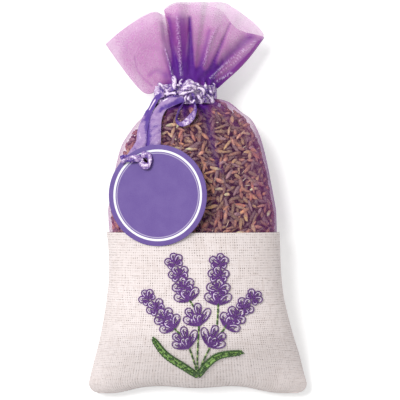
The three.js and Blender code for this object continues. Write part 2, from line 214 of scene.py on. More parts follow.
class SachetBagSizes(PropertyGroup):
    """Sizes of the linen pocket and the pouch, the same as the solids have"""
    hem_width: length("Hem width", 65.3, "Width of the filled pocket at its hem")
    corner_width: length("Corner width", 84, "Width of the pocket over its bottom corners")
    corner_round: length("Corner round", 3.5, "Radius of the pocket's bottom corners")
    corner_drop: length("Corner drop", 2.4, "How far the bottom corners hang below the bottom seam")
    corner_seam_height: length("Corner seam height", 5, "Height of the side seam at the bottom corners")
    side_seam_height: length("Side seam height", 12, "Height of the side seam at the hem")
    pouch_lean: length("Pouch lean", 2.7, "How far the pouch leans to the left")
    neck_lean: length("Neck lean", 4.75, "How far the neck leans to the left")
    back_depth: length("Back depth", 15.4, "Depth of the back below the side seam")
    seam_lip: length("Seam lip", 0.45, "Rise of the cloth straight at the bottom seam")
    pucker_depth: length("Pucker depth", 0.5, "Depth of the puckers along the bottom seam")


class SachetClothLooks(PropertyGroup):
    """Threads and colours of the linen and the organza"""
    linen_thickness: length("Linen thickness", 0.4, "Thickness of the linen")
    linen_pitch: length("Linen pitch", 0.78, "Distance from one linen thread to the next")
    organza_pitch: length("Organza pitch", 0.4, "Distance from one organza thread to the next")
    linen_colour: colour("Linen", (0.875, 0.792, 0.782), "Colour of the linen threads")
    linen_slub: colour("Linen slub", (0.70, 0.60, 0.57), "Colour of the darker linen threads")
    organza_sheer: colour("Sheer organza", (0.53, 0.125, 0.46), "Colour of one layer of organza")
    # The deep colour also stands for painted shade in the organza's folds and under the tie
    organza_deep: colour("Deep organza", (0.10, 0.012, 0.24), "Colour of organza gathered in many folds")


class SachetFillingLooks(PropertyGroup):
    """Dried lavender buds that show through the pouch"""
    bud_length: length("Bud length", 4.0, "Length of a usual bud")
    bud_width: length("Bud width", 1.7, "Width of a usual bud")
    bud_spacing: length("Bud spacing", 2.5, "Distance between the buds of one layer")
    bud_layers: IntProperty(
        name="Bud layers", description="Layers of buds under the organza", default=3, min=1)
    seed: IntProperty(name="Seed", description="Seed of the buds' places", default=11)


class SachetRibbonLooks(PropertyGroup):
    """Satin ribbon of the tie and the tag"""
    ribbon_thickness: length("Ribbon thickness", 0.25, "Thickness of the satin ribbon")
    satin_light: colour("Satin light", (0.37, 0.235, 0.48), "Colour of the satin where it lies flat")
    # Painted highlight: the pale colour laid onto the satin's crests
    satin_bright: colour("Satin bright", (0.93, 0.80, 0.97), "Colour of the satin on its crests")
    # Painted shade: the dark colour laid into the satin's creases
    satin_dark: colour("Satin dark", (0.095, 0.035, 0.29), "Colour of the satin in its creases")


class SachetTagLooks(PropertyGroup):
    """Round swing tag"""
    ring_radius: length("Ring radius", 16.75, "Radius of the printed white ring")
    ring_width: length("Ring width", 0.82, "Width of the printed white ring")
    hairline_radius: length("Hairline radius", 15.8, "Radius of the pale line inside the ring")
    card_colour: colour("Card", (0.13, 0.073, 0.30), "Colour of the printed card")
    print_colour: colour("Print", (0.90, 0.89, 0.93), "Colour of the white print")


class SachetThreadLooks(PropertyGroup):
    """Embroidery threads"""
    thread_width: length("Thread width", 0.45, "Diameter of the embroidery thread")
    violet_thread: colour("Violet thread", (0.10, 0.018, 0.20), "Colour of the flowers' thread")
    lilac_thread: colour("Lilac thread", (0.80, 0.66, 0.86), "Colour of the pale stitches in the petals")
    green_thread: colour("Green thread", (0.024, 0.085, 0.004), "Colour of the leaves' rim")
    bright_thread: colour("Bright thread", (0.29, 0.52, 0.10), "Colour of the leaves' satin stitches")
    pale_thread: colour("Pale thread", (0.33, 0.48, 0.14), "Colour of the stems' base thread")


class SachetStageSettings(PropertyGroup):
    """Camera, light and floor"""
    camera_distance: length("Camera distance", 900, "Height of the camera above the table")
    view_width: length("View width", 152.7, "Width of what the camera sees at the sachet")
    view_x: length("View x", 0.76, "Middle of the view, to the right of the sachet's middle")
    view_y: length("View y", -0.95, "Middle of the view, above the sachet's middle")
    view_height: length("View height", 12, "Height at which the view width is measured")
    sun_strength: FloatProperty(name="Sun", description="Strength of the main light", default=2.2)
    sky_strength: FloatProperty(name="Sky", description="Strength of the light all round", default=0.56)


GROUPS = {
    "sachet_bag": SachetBagSizes,
    "sachet_cloth": SachetClothLooks,
    "sachet_filling": SachetFillingLooks,
    "sachet_ribbon": SachetRibbonLooks,
    "sachet_tag": SachetTagLooks,
    "sachet_thread": SachetThreadLooks,
    "sachet_stage": SachetStageSettings,
}


# Curves and ramps

NOISE_SHIFTS = (13.7, 5.3, 9.1)
CREASE_SHARPNESS = 1.6


def mix(low, high, t):
    return low + (high - low) * t


def share(value, low, high):
    return np.clip((value - low) / (high - low), 0.0, 1.0)


def smooth(value, low, high):
    t = share(value, low, high)
    return t * t * (3 - 2 * t)


def bump_at(value, middle, reach):
    """A soft hill of height 1 at middle, flat beyond reach"""
    return 1 - smooth(np.abs(value - middle), 0, reach)


def through(points, t):
    """Places at shares t along a smooth curve through the points"""
    points = np.asarray(points, float)
    padded = np.vstack([2 * points[0] - points[1], points, 2 * points[-1] - points[-2]])
    place = np.clip(np.asarray(t, float), 0, 1) * (len(points) - 1)
    first = np.minimum(place.astype(int), len(points) - 2)
    u = (place - first)[..., None]
    a, b, c, d = (padded[first + i] for i in range(4))
    return 0.5 * (2 * b + (c - a) * u + (2 * a - 5 * b + 4 * c - d) * u**2 + (3 * b - a - 3 * c + d) * u**3)


def through_knots(knots, t):
    """Places on a smooth curve whose points carry their own share in the first column"""
    knots = np.asarray(knots, float)
    place = np.interp(t, knots[:, 0], np.linspace(0, 1, len(knots)))
    return through(knots[:, 1:], place)


def travelled(points):
    """How far along a line each of its points lies"""
    return np.concatenate([[0], np.cumsum(np.linalg.norm(np.diff(points, axis=0), axis=1))])


def by_edge(table, cosine, y):
    """What a table of heights, left edges and right edges in millimetres gives for places on a side"""
    height, left, right = np.array(table).T * MM
    return np.where(cosine < 0, np.interp(y, height, left), np.interp(y, height, right))


def unit(vectors):
    return vectors / np.linalg.norm(vectors, axis=-1, keepdims=True)


def ripple(points, size, seed):
    """Smooth noise from -1 to 1 at each point, with features of the given size"""
    shift = Vector([seed * way for way in NOISE_SHIFTS])
    return np.array([noise.noise(Vector(p) / size + shift) for p in points])


def crumple(points, size, seed):
    """Sharp creases, from 0 in a crease to 1 on a crest"""
    return 1 - np.abs(ripple(points, size, seed)) * CREASE_SHARPNESS


# The bag's form

FLARE_POWER = 1.8
SHOULDER_POWER = 11
TAPER_SHARE = 0.33
TAPER_POWER = 1.5
DEPTH_TAPER_POWER = 2.6
LEAN_Y = (-32 * MM, 12 * MM)
NECK_LEAN_REACH = 6 * MM
CLOSING_LENGTH = 24 * MM
CORNER_REACH = 34 * MM
CORNER_POWERS = (1.6, 0.9)
LEFT_DROP_SHARES = (0.52, 0.9)
RIGHT_DROP_SHARES = (0.4, 0.9)
CORNER_DROP_REACH = 14 * MM
STEP_LENGTH = 8 * MM
SEAM_GAP = 0.05 * MM
LINEN_DEPTH = 1.1 * MM
TIE_RIBBON = 0.5 * MM
NUDGE_SHARES = (0.1, 0.95)
DRAPE_PROBE = 0.8 * MM
# A hair above the pouch's top edge: what is drawn in or puffed up there ends at the tie
TIE_EDGE = 0.01 * MM
# How the bag's side edges lie off its plain outline, in millimetres: height, left edge and right edge
SIDE_NUDGES = (
    (-72.0, 0.0, 0.0), (-66.0, 0.0, -0.4), (-60.0, 0.3, -0.6), (-54.0, 0.4, -1.1), (-48.0, 0.3, -1.5),
    (-43.0, 0.2, -1.8), (-38.0, 0.0, -2.1), (-33.0, -0.1, -2.0), (-28.0, -0.4, -1.8), (-24.0, -0.7, -1.4),
    (-18.0, -0.9, -0.8), (-13.2, -1.2, -0.4), (-4.6, -1.5, 0.6), (3.0, -0.2, 0.6), (10.0, 0.2, 0.5),
    (16.0, 0.6, 0.2), (20.0, 1.0, 0.0), (24.0, 2.2, 0.0), (27.0, 3.0, 0.3), (30.0, 3.5, 1.2),
    (32.6, 3.0, 1.8), (34.4, 1.4, 2.4), (35.7, 0.3, 2.4),
)


class Bag:
    """The bag's cloth as a surface, from the frame and the sizes in the panel"""

    def __init__(self, sizes):
        linen_low, linen_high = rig.box("linen_front")
        neck_low, neck_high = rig.box("neck_ribbon")
        pouch_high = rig.box("organza_front")[1]
        self.sizes = sizes
        self.seam_y = linen_low.y + sizes.corner_drop
        self.hem_y = linen_high.y
        self.neck_low_y = neck_low.y
        self.neck_high_y = neck_high.y
        self.neck_y = (neck_low.y + neck_high.y) / 2
        self.top_y = pouch_high.y
        self.front_rise = linen_high.z - sizes.side_seam_height
        self.neck_x = (neck_low.x + neck_high.x) / 2
        self.neck_z = (neck_low.z + neck_high.z) / 2
        self.neck_half = (neck_high.x - neck_low.x) / 2 - TIE_RIBBON
        self.neck_rise = (neck_high.z - neck_low.z) / 2 - TIE_RIBBON

    def half_width(self, y):
        sizes = self.sizes
        flare = (1 - share(y, self.seam_y + sizes.corner_round, self.hem_y)) ** FLARE_POWER
        corner = 1 - share(y, self.seam_y, self.seam_y + sizes.corner_round)
        rounding = sizes.corner_round * (1 - np.sqrt(1 - corner**2))
        t = share(y, self.hem_y, self.neck_low_y)
        shoulder = (1 - t**SHOULDER_POWER) * (1 - TAPER_SHARE * t**TAPER_POWER)
        pouch = mix(self.neck_half, sizes.hem_width / 2, shoulder)
        return pouch + (sizes.corner_width - sizes.hem_width) / 2 * flare - rounding

    def lean(self, y):
        sizes = self.sizes
        lean = -sizes.pouch_lean * smooth(y, *LEAN_Y)
        further = sizes.pouch_lean - sizes.neck_lean
        return lean + further * smooth(y, self.neck_low_y - NECK_LEAN_REACH, self.neck_low_y)

    def seam_height(self, y):
        rise = smooth(y, self.seam_y, self.seam_y + CLOSING_LENGTH)
        low = mix(self.sizes.corner_seam_height, self.sizes.side_seam_height, rise)
        return mix(low, self.neck_z, smooth(y, self.hem_y, self.neck_low_y))

    def rise(self, side, y):
        fullest = self.front_rise if side > 0 else self.sizes.back_depth
        t = share(y, self.hem_y, self.neck_low_y) ** DEPTH_TAPER_POWER
        closing = share(y, self.seam_y, self.seam_y + CLOSING_LENGTH)
        return mix(self.sizes.seam_lip, mix(fullest, self.neck_rise, t), np.sqrt(1 - (1 - closing) ** 2))

    def section_power(self, y):
        return mix(*CORNER_POWERS, smooth(y, self.seam_y, self.seam_y + CORNER_REACH))

    def nudge(self, cosine, y):
        """How far the cloth is drawn in or let out towards its side edges"""
        nudge = by_edge(SIDE_NUDGES, cosine, y) * smooth(np.abs(cosine), *NUDGE_SHARES)
        return nudge * (y < self.neck_low_y + TIE_EDGE)

    def point(self, side, angle, y, inset):
        """A place on the cloth: angle 0 is the right side seam and pi the left one"""
        sine = np.maximum(np.sin(angle), 0)
        cosine = np.cos(angle)
        rise = (self.rise(side, y) - inset) * sine ** self.section_power(y)
        x = self.lean(y) + (self.half_width(y) - inset) * cosine + self.nudge(cosine, y)
        z = self.seam_height(y) + side * (SEAM_GAP + rise)
        corner = np.where(cosine < 0, smooth(-cosine, *LEFT_DROP_SHARES), smooth(cosine, *RIGHT_DROP_SHARES))
        near_seam = 1 - smooth(y, self.seam_y, self.seam_y + CORNER_DROP_REACH)
        drop = self.sizes.corner_drop * corner * near_seam
        step = np.minimum(inset, LINEN_DEPTH) * smooth(y, self.hem_y, self.hem_y + STEP_LENGTH)
        return np.stack([x, y - drop, np.maximum(z, inset - step)], -1)

    def front_height(self, x, y, inset=0.0):
        """Height of the front over places, whose share of the half width is found in a few rounds"""
        q = np.zeros_like(x)
        for _ in range(4):
            q = np.clip((x - self.lean(y) - self.nudge(q, y)) / (self.half_width(y) - inset), -1, 1)
        rise = (self.rise(1, y) - inset) * np.sqrt(1 - q * q) ** self.section_power(y)
        return self.seam_height(y) + SEAM_GAP + rise

    def drape(self, x, y, level):
        """A place that stands off the front by a level, square to the cloth"""
        probe = DRAPE_PROBE
        slope_x = (self.front_height(x + probe, y) - self.front_height(x - probe, y)) / (2 * probe)
        slope_y = (self.front_height(x, y + probe) - self.front_height(x, y - probe)) / (2 * probe)
        normal = unit(np.stack([-slope_x, -slope_y, np.ones_like(slope_x)], -1))
        place = np.stack([x, y, self.front_height(x, y) + pocket_relief(self, x, y)], -1)
        return place + normal * np.asarray(level)[..., None]

    def neck(self, x, y, lift):
        """Places over the front of the tied neck, lifted off the organza, and the way out of it"""
        lift = np.asarray(lift)
        cosine = np.clip((x - self.neck_x) / (self.neck_half + lift), -1, 1)
        sine = np.sqrt(1 - cosine**2)
        outward = np.stack([cosine, np.zeros_like(cosine), sine], -1)
        return np.stack([x, y, self.neck_z + (self.neck_rise + lift) * sine], -1), outward


# Mesh helpers

# How far apart in the noise two strips of ribbon lie, so that no two have the same creases
STRIP_SPACING = 7 * MM
CREST_MEAN = 0.6


def finished(form, name):
    """A new mesh of what a bmesh holds"""
    mesh = bpy.data.meshes.new(name)
    form.to_mesh(mesh)
    form.free()
    return mesh


def sheet_mesh(name, columns, rows, place, flat):
    """A grid of cloth: place gives its points, and any attributes, for shares across and along"""
    cloth = bmesh.new()
    cloth.loops.layers.uv.new(CLOTH_UV)
    bmesh.ops.create_grid(cloth, x_segments=columns, y_segments=rows, size=0.5, calc_uvs=True)
    mesh = finished(cloth, name)
    count = len(mesh.vertices)
    grid = np.empty(count * 3)
    mesh.vertices.foreach_get("co", grid)
    across, along = (grid.reshape(count, 3)[:, i] + 0.5 for i in (0, 1))
    points, *values = place(across, along)
    mesh.vertices.foreach_set("co", np.ascontiguousarray(points, float).ravel())
    store_uv(mesh, np.stack([across * flat[0], along * flat[1]], -1))
    for key, value in dict(*values).items():
        store_value(mesh, key, value)
    mesh.update()
    return mesh


def store_uv(mesh, places):
    """Keeps a flat place for each vertex as the mesh's UV map"""
    layer = mesh.uv_layers.get(CLOTH_UV) or mesh.uv_layers.new(name=CLOTH_UV)
    corners = np.empty(len(mesh.loops), int)
    mesh.loops.foreach_get("vertex_index", corners)
    layer.data.foreach_set("uv", places[corners].ravel())


def store_value(mesh, name, values):
    mesh.attributes.new(name, "FLOAT", "POINT").data.foreach_set("value", np.asarray(values, float))


def add_piece(mesh, material, body, slot, *nodes):
    """Makes the mesh a smooth piece that rides on a body and stands for its nodes"""
    piece = bpy.data.objects.new(mesh.name, mesh)
    bpy.context.scene.collection.objects.link(piece)
    mesh.shade_smooth()
    mesh.materials.append(material)
    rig.ride(piece, body)
    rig.slot(piece, slot)
    if nodes:
        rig.replaces(piece, *nodes)
    return piece


def thicken(piece, thickness, offset=-1.0):
    wall = piece.modifiers.new("thickness", "SOLIDIFY")
    wall.thickness = thickness
    wall.offset = offset
    wall.use_even_offset = False


def refine(piece):
    finer = piece.modifiers.new("fineness", "SUBSURF")
    finer.levels = 1
    finer.render_levels = 1


def weld(mesh, reach):
    """Merges vertices within reach, such as those that meet where a grid closes on itself"""
    joined = bmesh.new()
    joined.from_mesh(mesh)
    bmesh.ops.remove_doubles(joined, verts=joined.verts, dist=reach)
    bmesh.ops.recalc_face_normals(joined, faces=joined.faces)
    joined.to_mesh(mesh)
    joined.free()
    return mesh


def join_meshes(name, meshes):
    """One mesh of several, which are removed"""
    whole = bmesh.new()
    for mesh in meshes:
        whole.from_mesh(mesh)
        bpy.data.meshes.remove(mesh)
    return finished(whole, name)


def ribbon_mesh(name, centres, sides, widths, paint, cup, creases, crease_size, seed, columns=8):
    """A strip of ribbon along its centres; cup arches it, creases crumple it and paint gives its tone, the painted
    light and shade of its folds
    """
    rows = len(centres) - 1
    tangents = unit(np.gradient(centres, axis=0))
    sides = unit(sides - tangents * np.sum(sides * tangents, -1, keepdims=True))
    normals = np.cross(sides, tangents)
    run = travelled(centres)

    def place(across, along):
        row = np.rint(along * rows).astype(int)
        reach = across - 0.5
        width = widths[row]
        flat = np.stack([reach * width, run[row], np.full(len(row), seed * STRIP_SPACING)], -1)
        crest = crumple(flat, crease_size * MM, seed)
        level = cup * width * (1 - 4 * reach**2) + creases * MM * (crest - CREST_MEAN)
        points = centres[row] + sides[row] * (reach * width)[:, None] + normals[row] * level[:, None]
        return points, {"tone": paint(points, along, reach, crest)}

    return sheet_mesh(name, columns, rows, place, (float(np.mean(widths)), float(run[-1])))


def thread_mesh(name, lines, width):
    """Stitched threads: each line is its points, thickness shares and whether it closes"""
    data = bpy.data.curves.new(name, "CURVE")
    data.dimensions = "3D"
    data.bevel_depth = width / 2
    data.bevel_resolution = 1
    data.use_fill_caps = True
    for points, swells, closed in lines:
        line = data.splines.new("POLY")
        line.points.add(len(points) - 1)
        line.points.foreach_set("co", np.column_stack([points, np.ones(len(points))]).ravel())
        line.points.foreach_set("radius", np.asarray(swells, float))
        line.use_cyclic_u = closed
    curve = bpy.data.objects.new(name, data)
    bpy.context.scene.collection.objects.link(curve)
    depsgraph = bpy.context.evaluated_depsgraph_get()
    mesh = bpy.data.meshes.new_from_object(curve.evaluated_get(depsgraph))
    mesh.name = name
    bpy.data.objects.remove(curve)
    bpy.data.curves.remove(data)
    return mesh


# Node helpers

class Tree:
    """Adds nodes to a node tree in few words"""

    def __init__(self, tree):
        self.tree = tree

    def node(self, kind, **settings):
        node = self.tree.nodes.new(kind)
        for key, value in settings.items():
            setattr(node, key, value)
        return node

    def join(self, value, socket):
        """Links a socket or sets a plain value"""
        if isinstance(value, bpy.types.NodeSocket):
            self.tree.links.new(value, socket)
        elif value is not None:
            socket.default_value = value

    def math(self, operation, a, b=None, c=None, clamp=False):
        node = self.node("ShaderNodeMath", operation=operation, use_clamp=clamp)
        for value, socket in zip((a, b, c), node.inputs):
            self.join(value, socket)
        return node.outputs[0]

    def blend(self, amount, a, b):
        node = self.node("ShaderNodeMix", data_type="RGBA", clamp_factor=True)
        self.join(amount, node.inputs[0])
        self.join(a, node.inputs[6])
        self.join(b, node.inputs[7])
        return node.outputs[2]

    def tint(self, base, mask, amount, colour):
        """Brings some of a colour into the base where the mask is bright"""
        return self.blend(self.math("MULTIPLY", mask, amount), base, colour)

    def steps(self, value, low, high):
        node = self.node("ShaderNodeMapRange", interpolation_type="SMOOTHSTEP")
        self.join(value, node.inputs["Value"])
        self.join(low, node.inputs["From Min"])
        self.join(high, node.inputs["From Max"])
        return node.outputs["Result"]

    def noise(self, vector, scale, detail=2.0, roughness=0.5):
        node = self.node("ShaderNodeTexNoise")
        self.join(vector, node.inputs["Vector"])
        self.join(scale, node.inputs["Scale"])
        node.inputs["Detail"].default_value = detail
        node.inputs["Roughness"].default_value = roughness
        return node.outputs["Fac"]

    def attribute(self, name, output="Fac"):
        return self.node("ShaderNodeAttribute", attribute_name=name).outputs[output]

    def scaled(self, vector, sizes):
        node = self.node("ShaderNodeMapping")
        self.join(vector, node.inputs["Vector"])
        node.inputs["Scale"].default_value = sizes
        return node.outputs["Vector"]

    def cloth_place(self):
        return self.node("ShaderNodeUVMap", uv_map=CLOTH_UV).outputs["UV"]

    def object_place(self):
        return self.node("ShaderNodeTexCoord").outputs["Object"]


def start_group(name, inputs, outputs):
    """A node group with its tree, what it is given and what it puts out"""
    group = bpy.data.node_groups.new(name, "ShaderNodeTree")
    for label, kind, value in inputs:
        socket = group.interface.new_socket(label, in_out="INPUT", socket_type=kind)
        if value is not None:
            socket.default_value = value
    for label, kind in outputs:
        group.interface.new_socket(label, in_out="OUTPUT", socket_type=kind)
    tree = Tree(group)
    return group, tree, tree.node("NodeGroupInput").outputs, tree.node("NodeGroupOutput").inputs


WEAVE_NAME = "Plain weave"
MOTTLE_NAME = "Soft patches"
SLUB_ACROSS = 0.9
SLUB_ALONG = 0.12
SLUB_STEPS = (0.5, 0.68)
GAP_STEPS = (0.24, 0.62)
PINHOLE_ROWS = (0.35, 0.55, 1)
PINHOLE_STEPS = (0.42, 0.62)
PATCH_STEPS = (0.3, 0.7)


def weave_group():
    """Plain weave: warp over weft and weft over warp, with slubs and pinholes"""
    if WEAVE_NAME in bpy.data.node_groups:
        return bpy.data.node_groups[WEAVE_NAME]
    group, tree, given, out = start_group(
        WEAVE_NAME,
        [("Vector", "NodeSocketVector", None), ("Pitch", "NodeSocketFloat", 1 * MM),
         ("Slub", "NodeSocketFloat", 0.2), ("Pinholes", "NodeSocketFloat", 0.5)],
        [("Height", "NodeSocketFloat"), ("Gap", "NodeSocketFloat"), ("Slub mask", "NodeSocketFloat")])
    scale = tree.node("ShaderNodeVectorMath", operation="DIVIDE")
    pitch = tree.node("ShaderNodeCombineXYZ")
    for socket in pitch.inputs:
        tree.join(given["Pitch"], socket)
    tree.join(given["Vector"], scale.inputs[0])
    tree.join(pitch.outputs[0], scale.inputs[1])
    cells = tree.node("ShaderNodeSeparateXYZ")
    tree.join(scale.outputs[0], cells.inputs[0])
    threads, masks = [], []
    for along, other in ((0, 1), (1, 0)):
        stretch = [SLUB_ACROSS, SLUB_ACROSS, 1]
        stretch[other] = SLUB_ALONG
        wander = tree.noise(tree.scaled(scale.outputs[0], stretch), 1.0, detail=3)
        offset = tree.math("MULTIPLY", tree.math("SUBTRACT", wander, 0.5), given["Slub"])
        place = tree.math("ADD", cells.outputs[along], offset)
        threads.append(tree.math("SINE", tree.math("MULTIPLY", place, math.pi)))
        masks.append(tree.steps(wander, *SLUB_STEPS))
    warp, weft = (tree.math("ABSOLUTE", thread) for thread in threads)
    crossing = tree.math("MULTIPLY", *threads)
    over = tree.math("MULTIPLY_ADD", crossing, 0.5, 0.5)
    under = tree.math("SUBTRACT", 1.0, over)
    height = tree.math("ADD", tree.math("MULTIPLY", warp, over), tree.math("MULTIPLY", weft, under))
    tree.join(height, out["Height"])
    open_corner = tree.math("MULTIPLY", tree.math("SUBTRACT", 1.0, warp), tree.math("SUBTRACT", 1.0, weft))
    rows = tree.noise(tree.scaled(scale.outputs[0], PINHOLE_ROWS), 1.0, detail=3, roughness=0.7)
    present = tree.math("MULTIPLY", tree.steps(rows, *PINHOLE_STEPS), given["Pinholes"])
    tree.join(tree.math("MULTIPLY", tree.steps(open_corner, *GAP_STEPS), present), out["Gap"])
    tree.join(tree.math("MAXIMUM", *masks), out["Slub mask"])
    return group


def mottle_group():
    """Large soft patches and fine grain, each from 0 to 1"""
    if MOTTLE_NAME in bpy.data.node_groups:
        return bpy.data.node_groups[MOTTLE_NAME]
    group, tree, given, out = start_group(
        MOTTLE_NAME,
        [("Vector", "NodeSocketVector", None), ("Patch size", "NodeSocketFloat", 8 * MM),
         ("Grain size", "NodeSocketFloat", 0.5 * MM)],
        [("Patches", "NodeSocketFloat"), ("Grain", "NodeSocketFloat")])
    for size, result, detail in (("Patch size", "Patches", 3.0), ("Grain size", "Grain", 1.0)):
        scale = tree.math("DIVIDE", 1.0, given[size])
        tree.join(tree.steps(tree.noise(given["Vector"], scale, detail), *PATCH_STEPS), out[result])
    return group


class Finish:
    """A material with one Principled shader and the groups that feed it"""

    def __init__(self, name):
        self.material = bpy.data.materials.new(name)
        self.material.use_nodes = True
        self.tree = Tree(self.material.node_tree)
        self.shader = self.material.node_tree.nodes["Principled BSDF"]
        self.sockets = {s.name.lower().replace(" ", "_"): s for s in self.shader.inputs}

    def set(self, **values):
        for key, value in values.items():
            self.tree.join(value, self.sockets[key])

    def group(self, group, place, **values):
        node = self.tree.node("ShaderNodeGroup")
        node.node_tree = group
        self.tree.join(place, node.inputs["Vector"])
        for key, value in values.items():
            self.tree.join(value, node.inputs[key.replace("_", " ").capitalize()])
        return node.outputs

    def mottle(self, place, patch_size, grain_size):
        """Soft patches and grain of the given sizes"""
        made = self.group(mottle_group(), place, patch_size=patch_size, grain_size=grain_size)
        return made["Patches"], made["Grain"]

    def bump(self, height, distance, strength):
        node = self.tree.node("ShaderNodeBump")
        node.inputs["Distance"].default_value = distance
        node.inputs["Strength"].default_value = strength
        self.tree.join(height, node.inputs["Height"])
        self.tree.join(node.outputs[0], self.shader.inputs["Normal"])


def rgb(value):
    return (*value, 1.0)


def dimmed(value, amount):
    return rgb([part * amount for part in value])


# Materials

LINEN_PATCH_COLOUR = (0.74, 0.65, 0.62, 1)
LINEN_HOLLOW_SHADE_COLOUR = (0.42, 0.33, 0.28, 1)
PINHOLE_COLOUR = (0.11, 0.07, 0.055, 1)
GLINT_COLOUR = (0.92, 0.76, 1.0, 1)
HUSK_PATCH_COLOUR = (0.09, 0.045, 0.045, 1)
HUSK_GRAIN_COLOUR = (0.66, 0.50, 0.42, 1)
CARD_PATCH_COLOUR = (0.30, 0.22, 0.50, 1)
CARD_GRAIN_COLOUR = (0.45, 0.36, 0.62, 1)
HAIRLINE_COLOUR = (0.50, 0.44, 0.62, 1)
HAIRLINE_WIDTH = 0.35 * MM
SATIN_PITCH = 0.45 * MM
# Tones of satin between which its painted crease shade turns to its plain colour, and that to its painted crest
# highlight
SATIN_STEPS = (0.05, 0.5)
SATIN_BRIGHT_STEPS = (0.55, 0.95)
GLINT_DOT_STEPS = (0.35, 0.75)
GLINT_SPECK_SIZE = 0.7 * MM
GLINT_SPECK_STEPS = (0.68, 0.76)


def linen_finish(looks):
    """Cream plain-woven linen with slubs, open pinholes and painted shade in the weave's hollows"""
    finish = Finish("Cream linen")
    tree = finish.tree
    threads = finish.group(
        weave_group(), tree.cloth_place(), pitch=looks.linen_pitch, slub=0.5, pinholes=1.0)
    patches, _ = finish.mottle(tree.object_place(), 14 * MM, 0.6 * MM)
    base = tree.tint(rgb(looks.linen_colour), threads["Slub mask"], 0.5, rgb(looks.linen_slub))
    base = tree.tint(base, patches, 0.25, LINEN_PATCH_COLOUR)
    # Painted shade in the hollows between the threads
    sunk = tree.math("SUBTRACT", 1.0, threads["Height"])
    base = tree.tint(base, sunk, 0.22, LINEN_HOLLOW_SHADE_COLOUR)
    base = tree.tint(base, threads["Gap"], 0.95, PINHOLE_COLOUR)
    finish.set(base_color=base, roughness=0.92, specular_ior_level=0.25, sheen_weight=0.15)
    height = tree.math("SUBTRACT", threads["Height"], tree.math("MULTIPLY", threads["Gap"], 0.8))
    finish.bump(height, 0.14 * MM, 0.7)
    return finish.material


def organza_finish(looks):
    """Sheer organza whose colour deepens where folds gather and where shade is painted, with painted glints"""
    finish = Finish("Violet organza")
    tree = finish.tree
    place = tree.cloth_place()
    threads = finish.group(weave_group(), place, pitch=looks.organza_pitch, slub=0.15, pinholes=0.0)
    patches, grain = finish.mottle(place, 9 * MM, 0.85 * MM)
    # The colour deepens with gathered layers and with painted shade, and the crest attribute carries the painted
    # glints
    gather, cover, crest = (tree.attribute(name) for name in ("gather", "cover", "crest"))
    base = tree.blend(gather, rgb(looks.organza_sheer), rgb(looks.organza_deep))
    # Painted glints: dots along the crests and sparse specks, pale and more opaque
    dots = tree.steps(grain, *GLINT_DOT_STEPS)
    specks = tree.steps(tree.noise(place, 1 / GLINT_SPECK_SIZE, detail=1), *GLINT_SPECK_STEPS)
    glint = tree.math("MULTIPLY_ADD", crest, dots, tree.math("MULTIPLY", specks, 0.15), clamp=True)
    base = tree.blend(glint, base, GLINT_COLOUR)
    soft = tree.math("MULTIPLY_ADD", patches, 0.24, 0.88)
    fine = tree.math("MULTIPLY_ADD", grain, 0.12, 0.94)
    alpha = tree.math("MULTIPLY", tree.math("MULTIPLY", cover, soft), fine)
    alpha = tree.math("MULTIPLY_ADD", glint, 0.4, alpha, clamp=True)
    finish.set(base_color=base, alpha=alpha, roughness=0.55, specular_ior_level=0.15)
    finish.bump(threads["Height"], 0.05 * MM, 0.5)
    return finish.material


def satin_finish(looks, name, roughness, uneven):
    """Satin ribbon whose tone runs from painted shade in its creases to painted highlights on its crests"""
    finish = Finish(name)
    tree = finish.tree
    place = tree.cloth_place()
    threads = finish.group(weave_group(), place, pitch=SATIN_PITCH, slub=0.3, pinholes=0.0)
    patches, grain = finish.mottle(place, 1.6 * MM, 0.4 * MM)
    tone = tree.attribute("tone")
    for pattern in (grain, patches):
        tone = tree.math("MULTIPLY_ADD", tree.math("SUBTRACT", pattern, 0.5), uneven, tone)
    base = tree.blend(tree.steps(tone, *SATIN_STEPS), rgb(looks.satin_dark), rgb(looks.satin_light))
    base = tree.blend(tree.steps(tone, *SATIN_BRIGHT_STEPS), base, rgb(looks.satin_bright))
    finish.set(base_color=base, roughness=roughness, specular_ior_level=0.4)
    finish.bump(threads["Height"], 0.05 * MM, 0.6)
    return finish.material


def bud_finish():
    """Dried buds, each with its own colour and painted shade, streaked along its length"""
    finish = Finish("Dried lavender")
    tree = finish.tree
    patches, grain = finish.mottle(tree.object_place(), 1.6 * MM, 0.35 * MM)
    base = tree.tint(tree.attribute("husk", "Color"), patches, 0.55, HUSK_PATCH_COLOUR)
    base = tree.tint(base, grain, 0.38, HUSK_GRAIN_COLOUR)
    finish.set(base_color=base, roughness=0.7, specular_ior_level=0.35)
    finish.bump(grain, 0.2 * MM, 0.9)
    return finish.material


def card_finish(looks):
    """Violet printed card with a white ring and a pale hairline"""
    finish = Finish("Printed card")
    tree = finish.tree
    place = tree.cloth_place()
    radius = tree.node("ShaderNodeVectorMath", operation="LENGTH")
    tree.join(place, radius.inputs[0])
    patches, grain = finish.mottle(place, 6 * MM, 0.3 * MM)
    base = tree.tint(rgb(looks.card_colour), patches, 0.12, CARD_PATCH_COLOUR)
    base = tree.tint(base, grain, 0.08, CARD_GRAIN_COLOUR)
    front = tree.attribute("front")
    for middle, width, colour, strength in (
        (looks.ring_radius, looks.ring_width, rgb(looks.print_colour), 1.0),
        (looks.hairline_radius, HAIRLINE_WIDTH, HAIRLINE_COLOUR, 0.8),
    ):
        away = tree.math("ABSOLUTE", tree.math("SUBTRACT", radius.outputs["Value"], middle))
        line = tree.math("SUBTRACT", 1.0, tree.steps(away, width * 0.4, width * 0.6))
        base = tree.blend(tree.math("MULTIPLY", tree.math("MULTIPLY", line, strength), front), base, colour)
    finish.set(base_color=base, roughness=0.55, specular_ior_level=0.25)
    finish.bump(grain, 0.03 * MM, 0.4)
    return finish.material


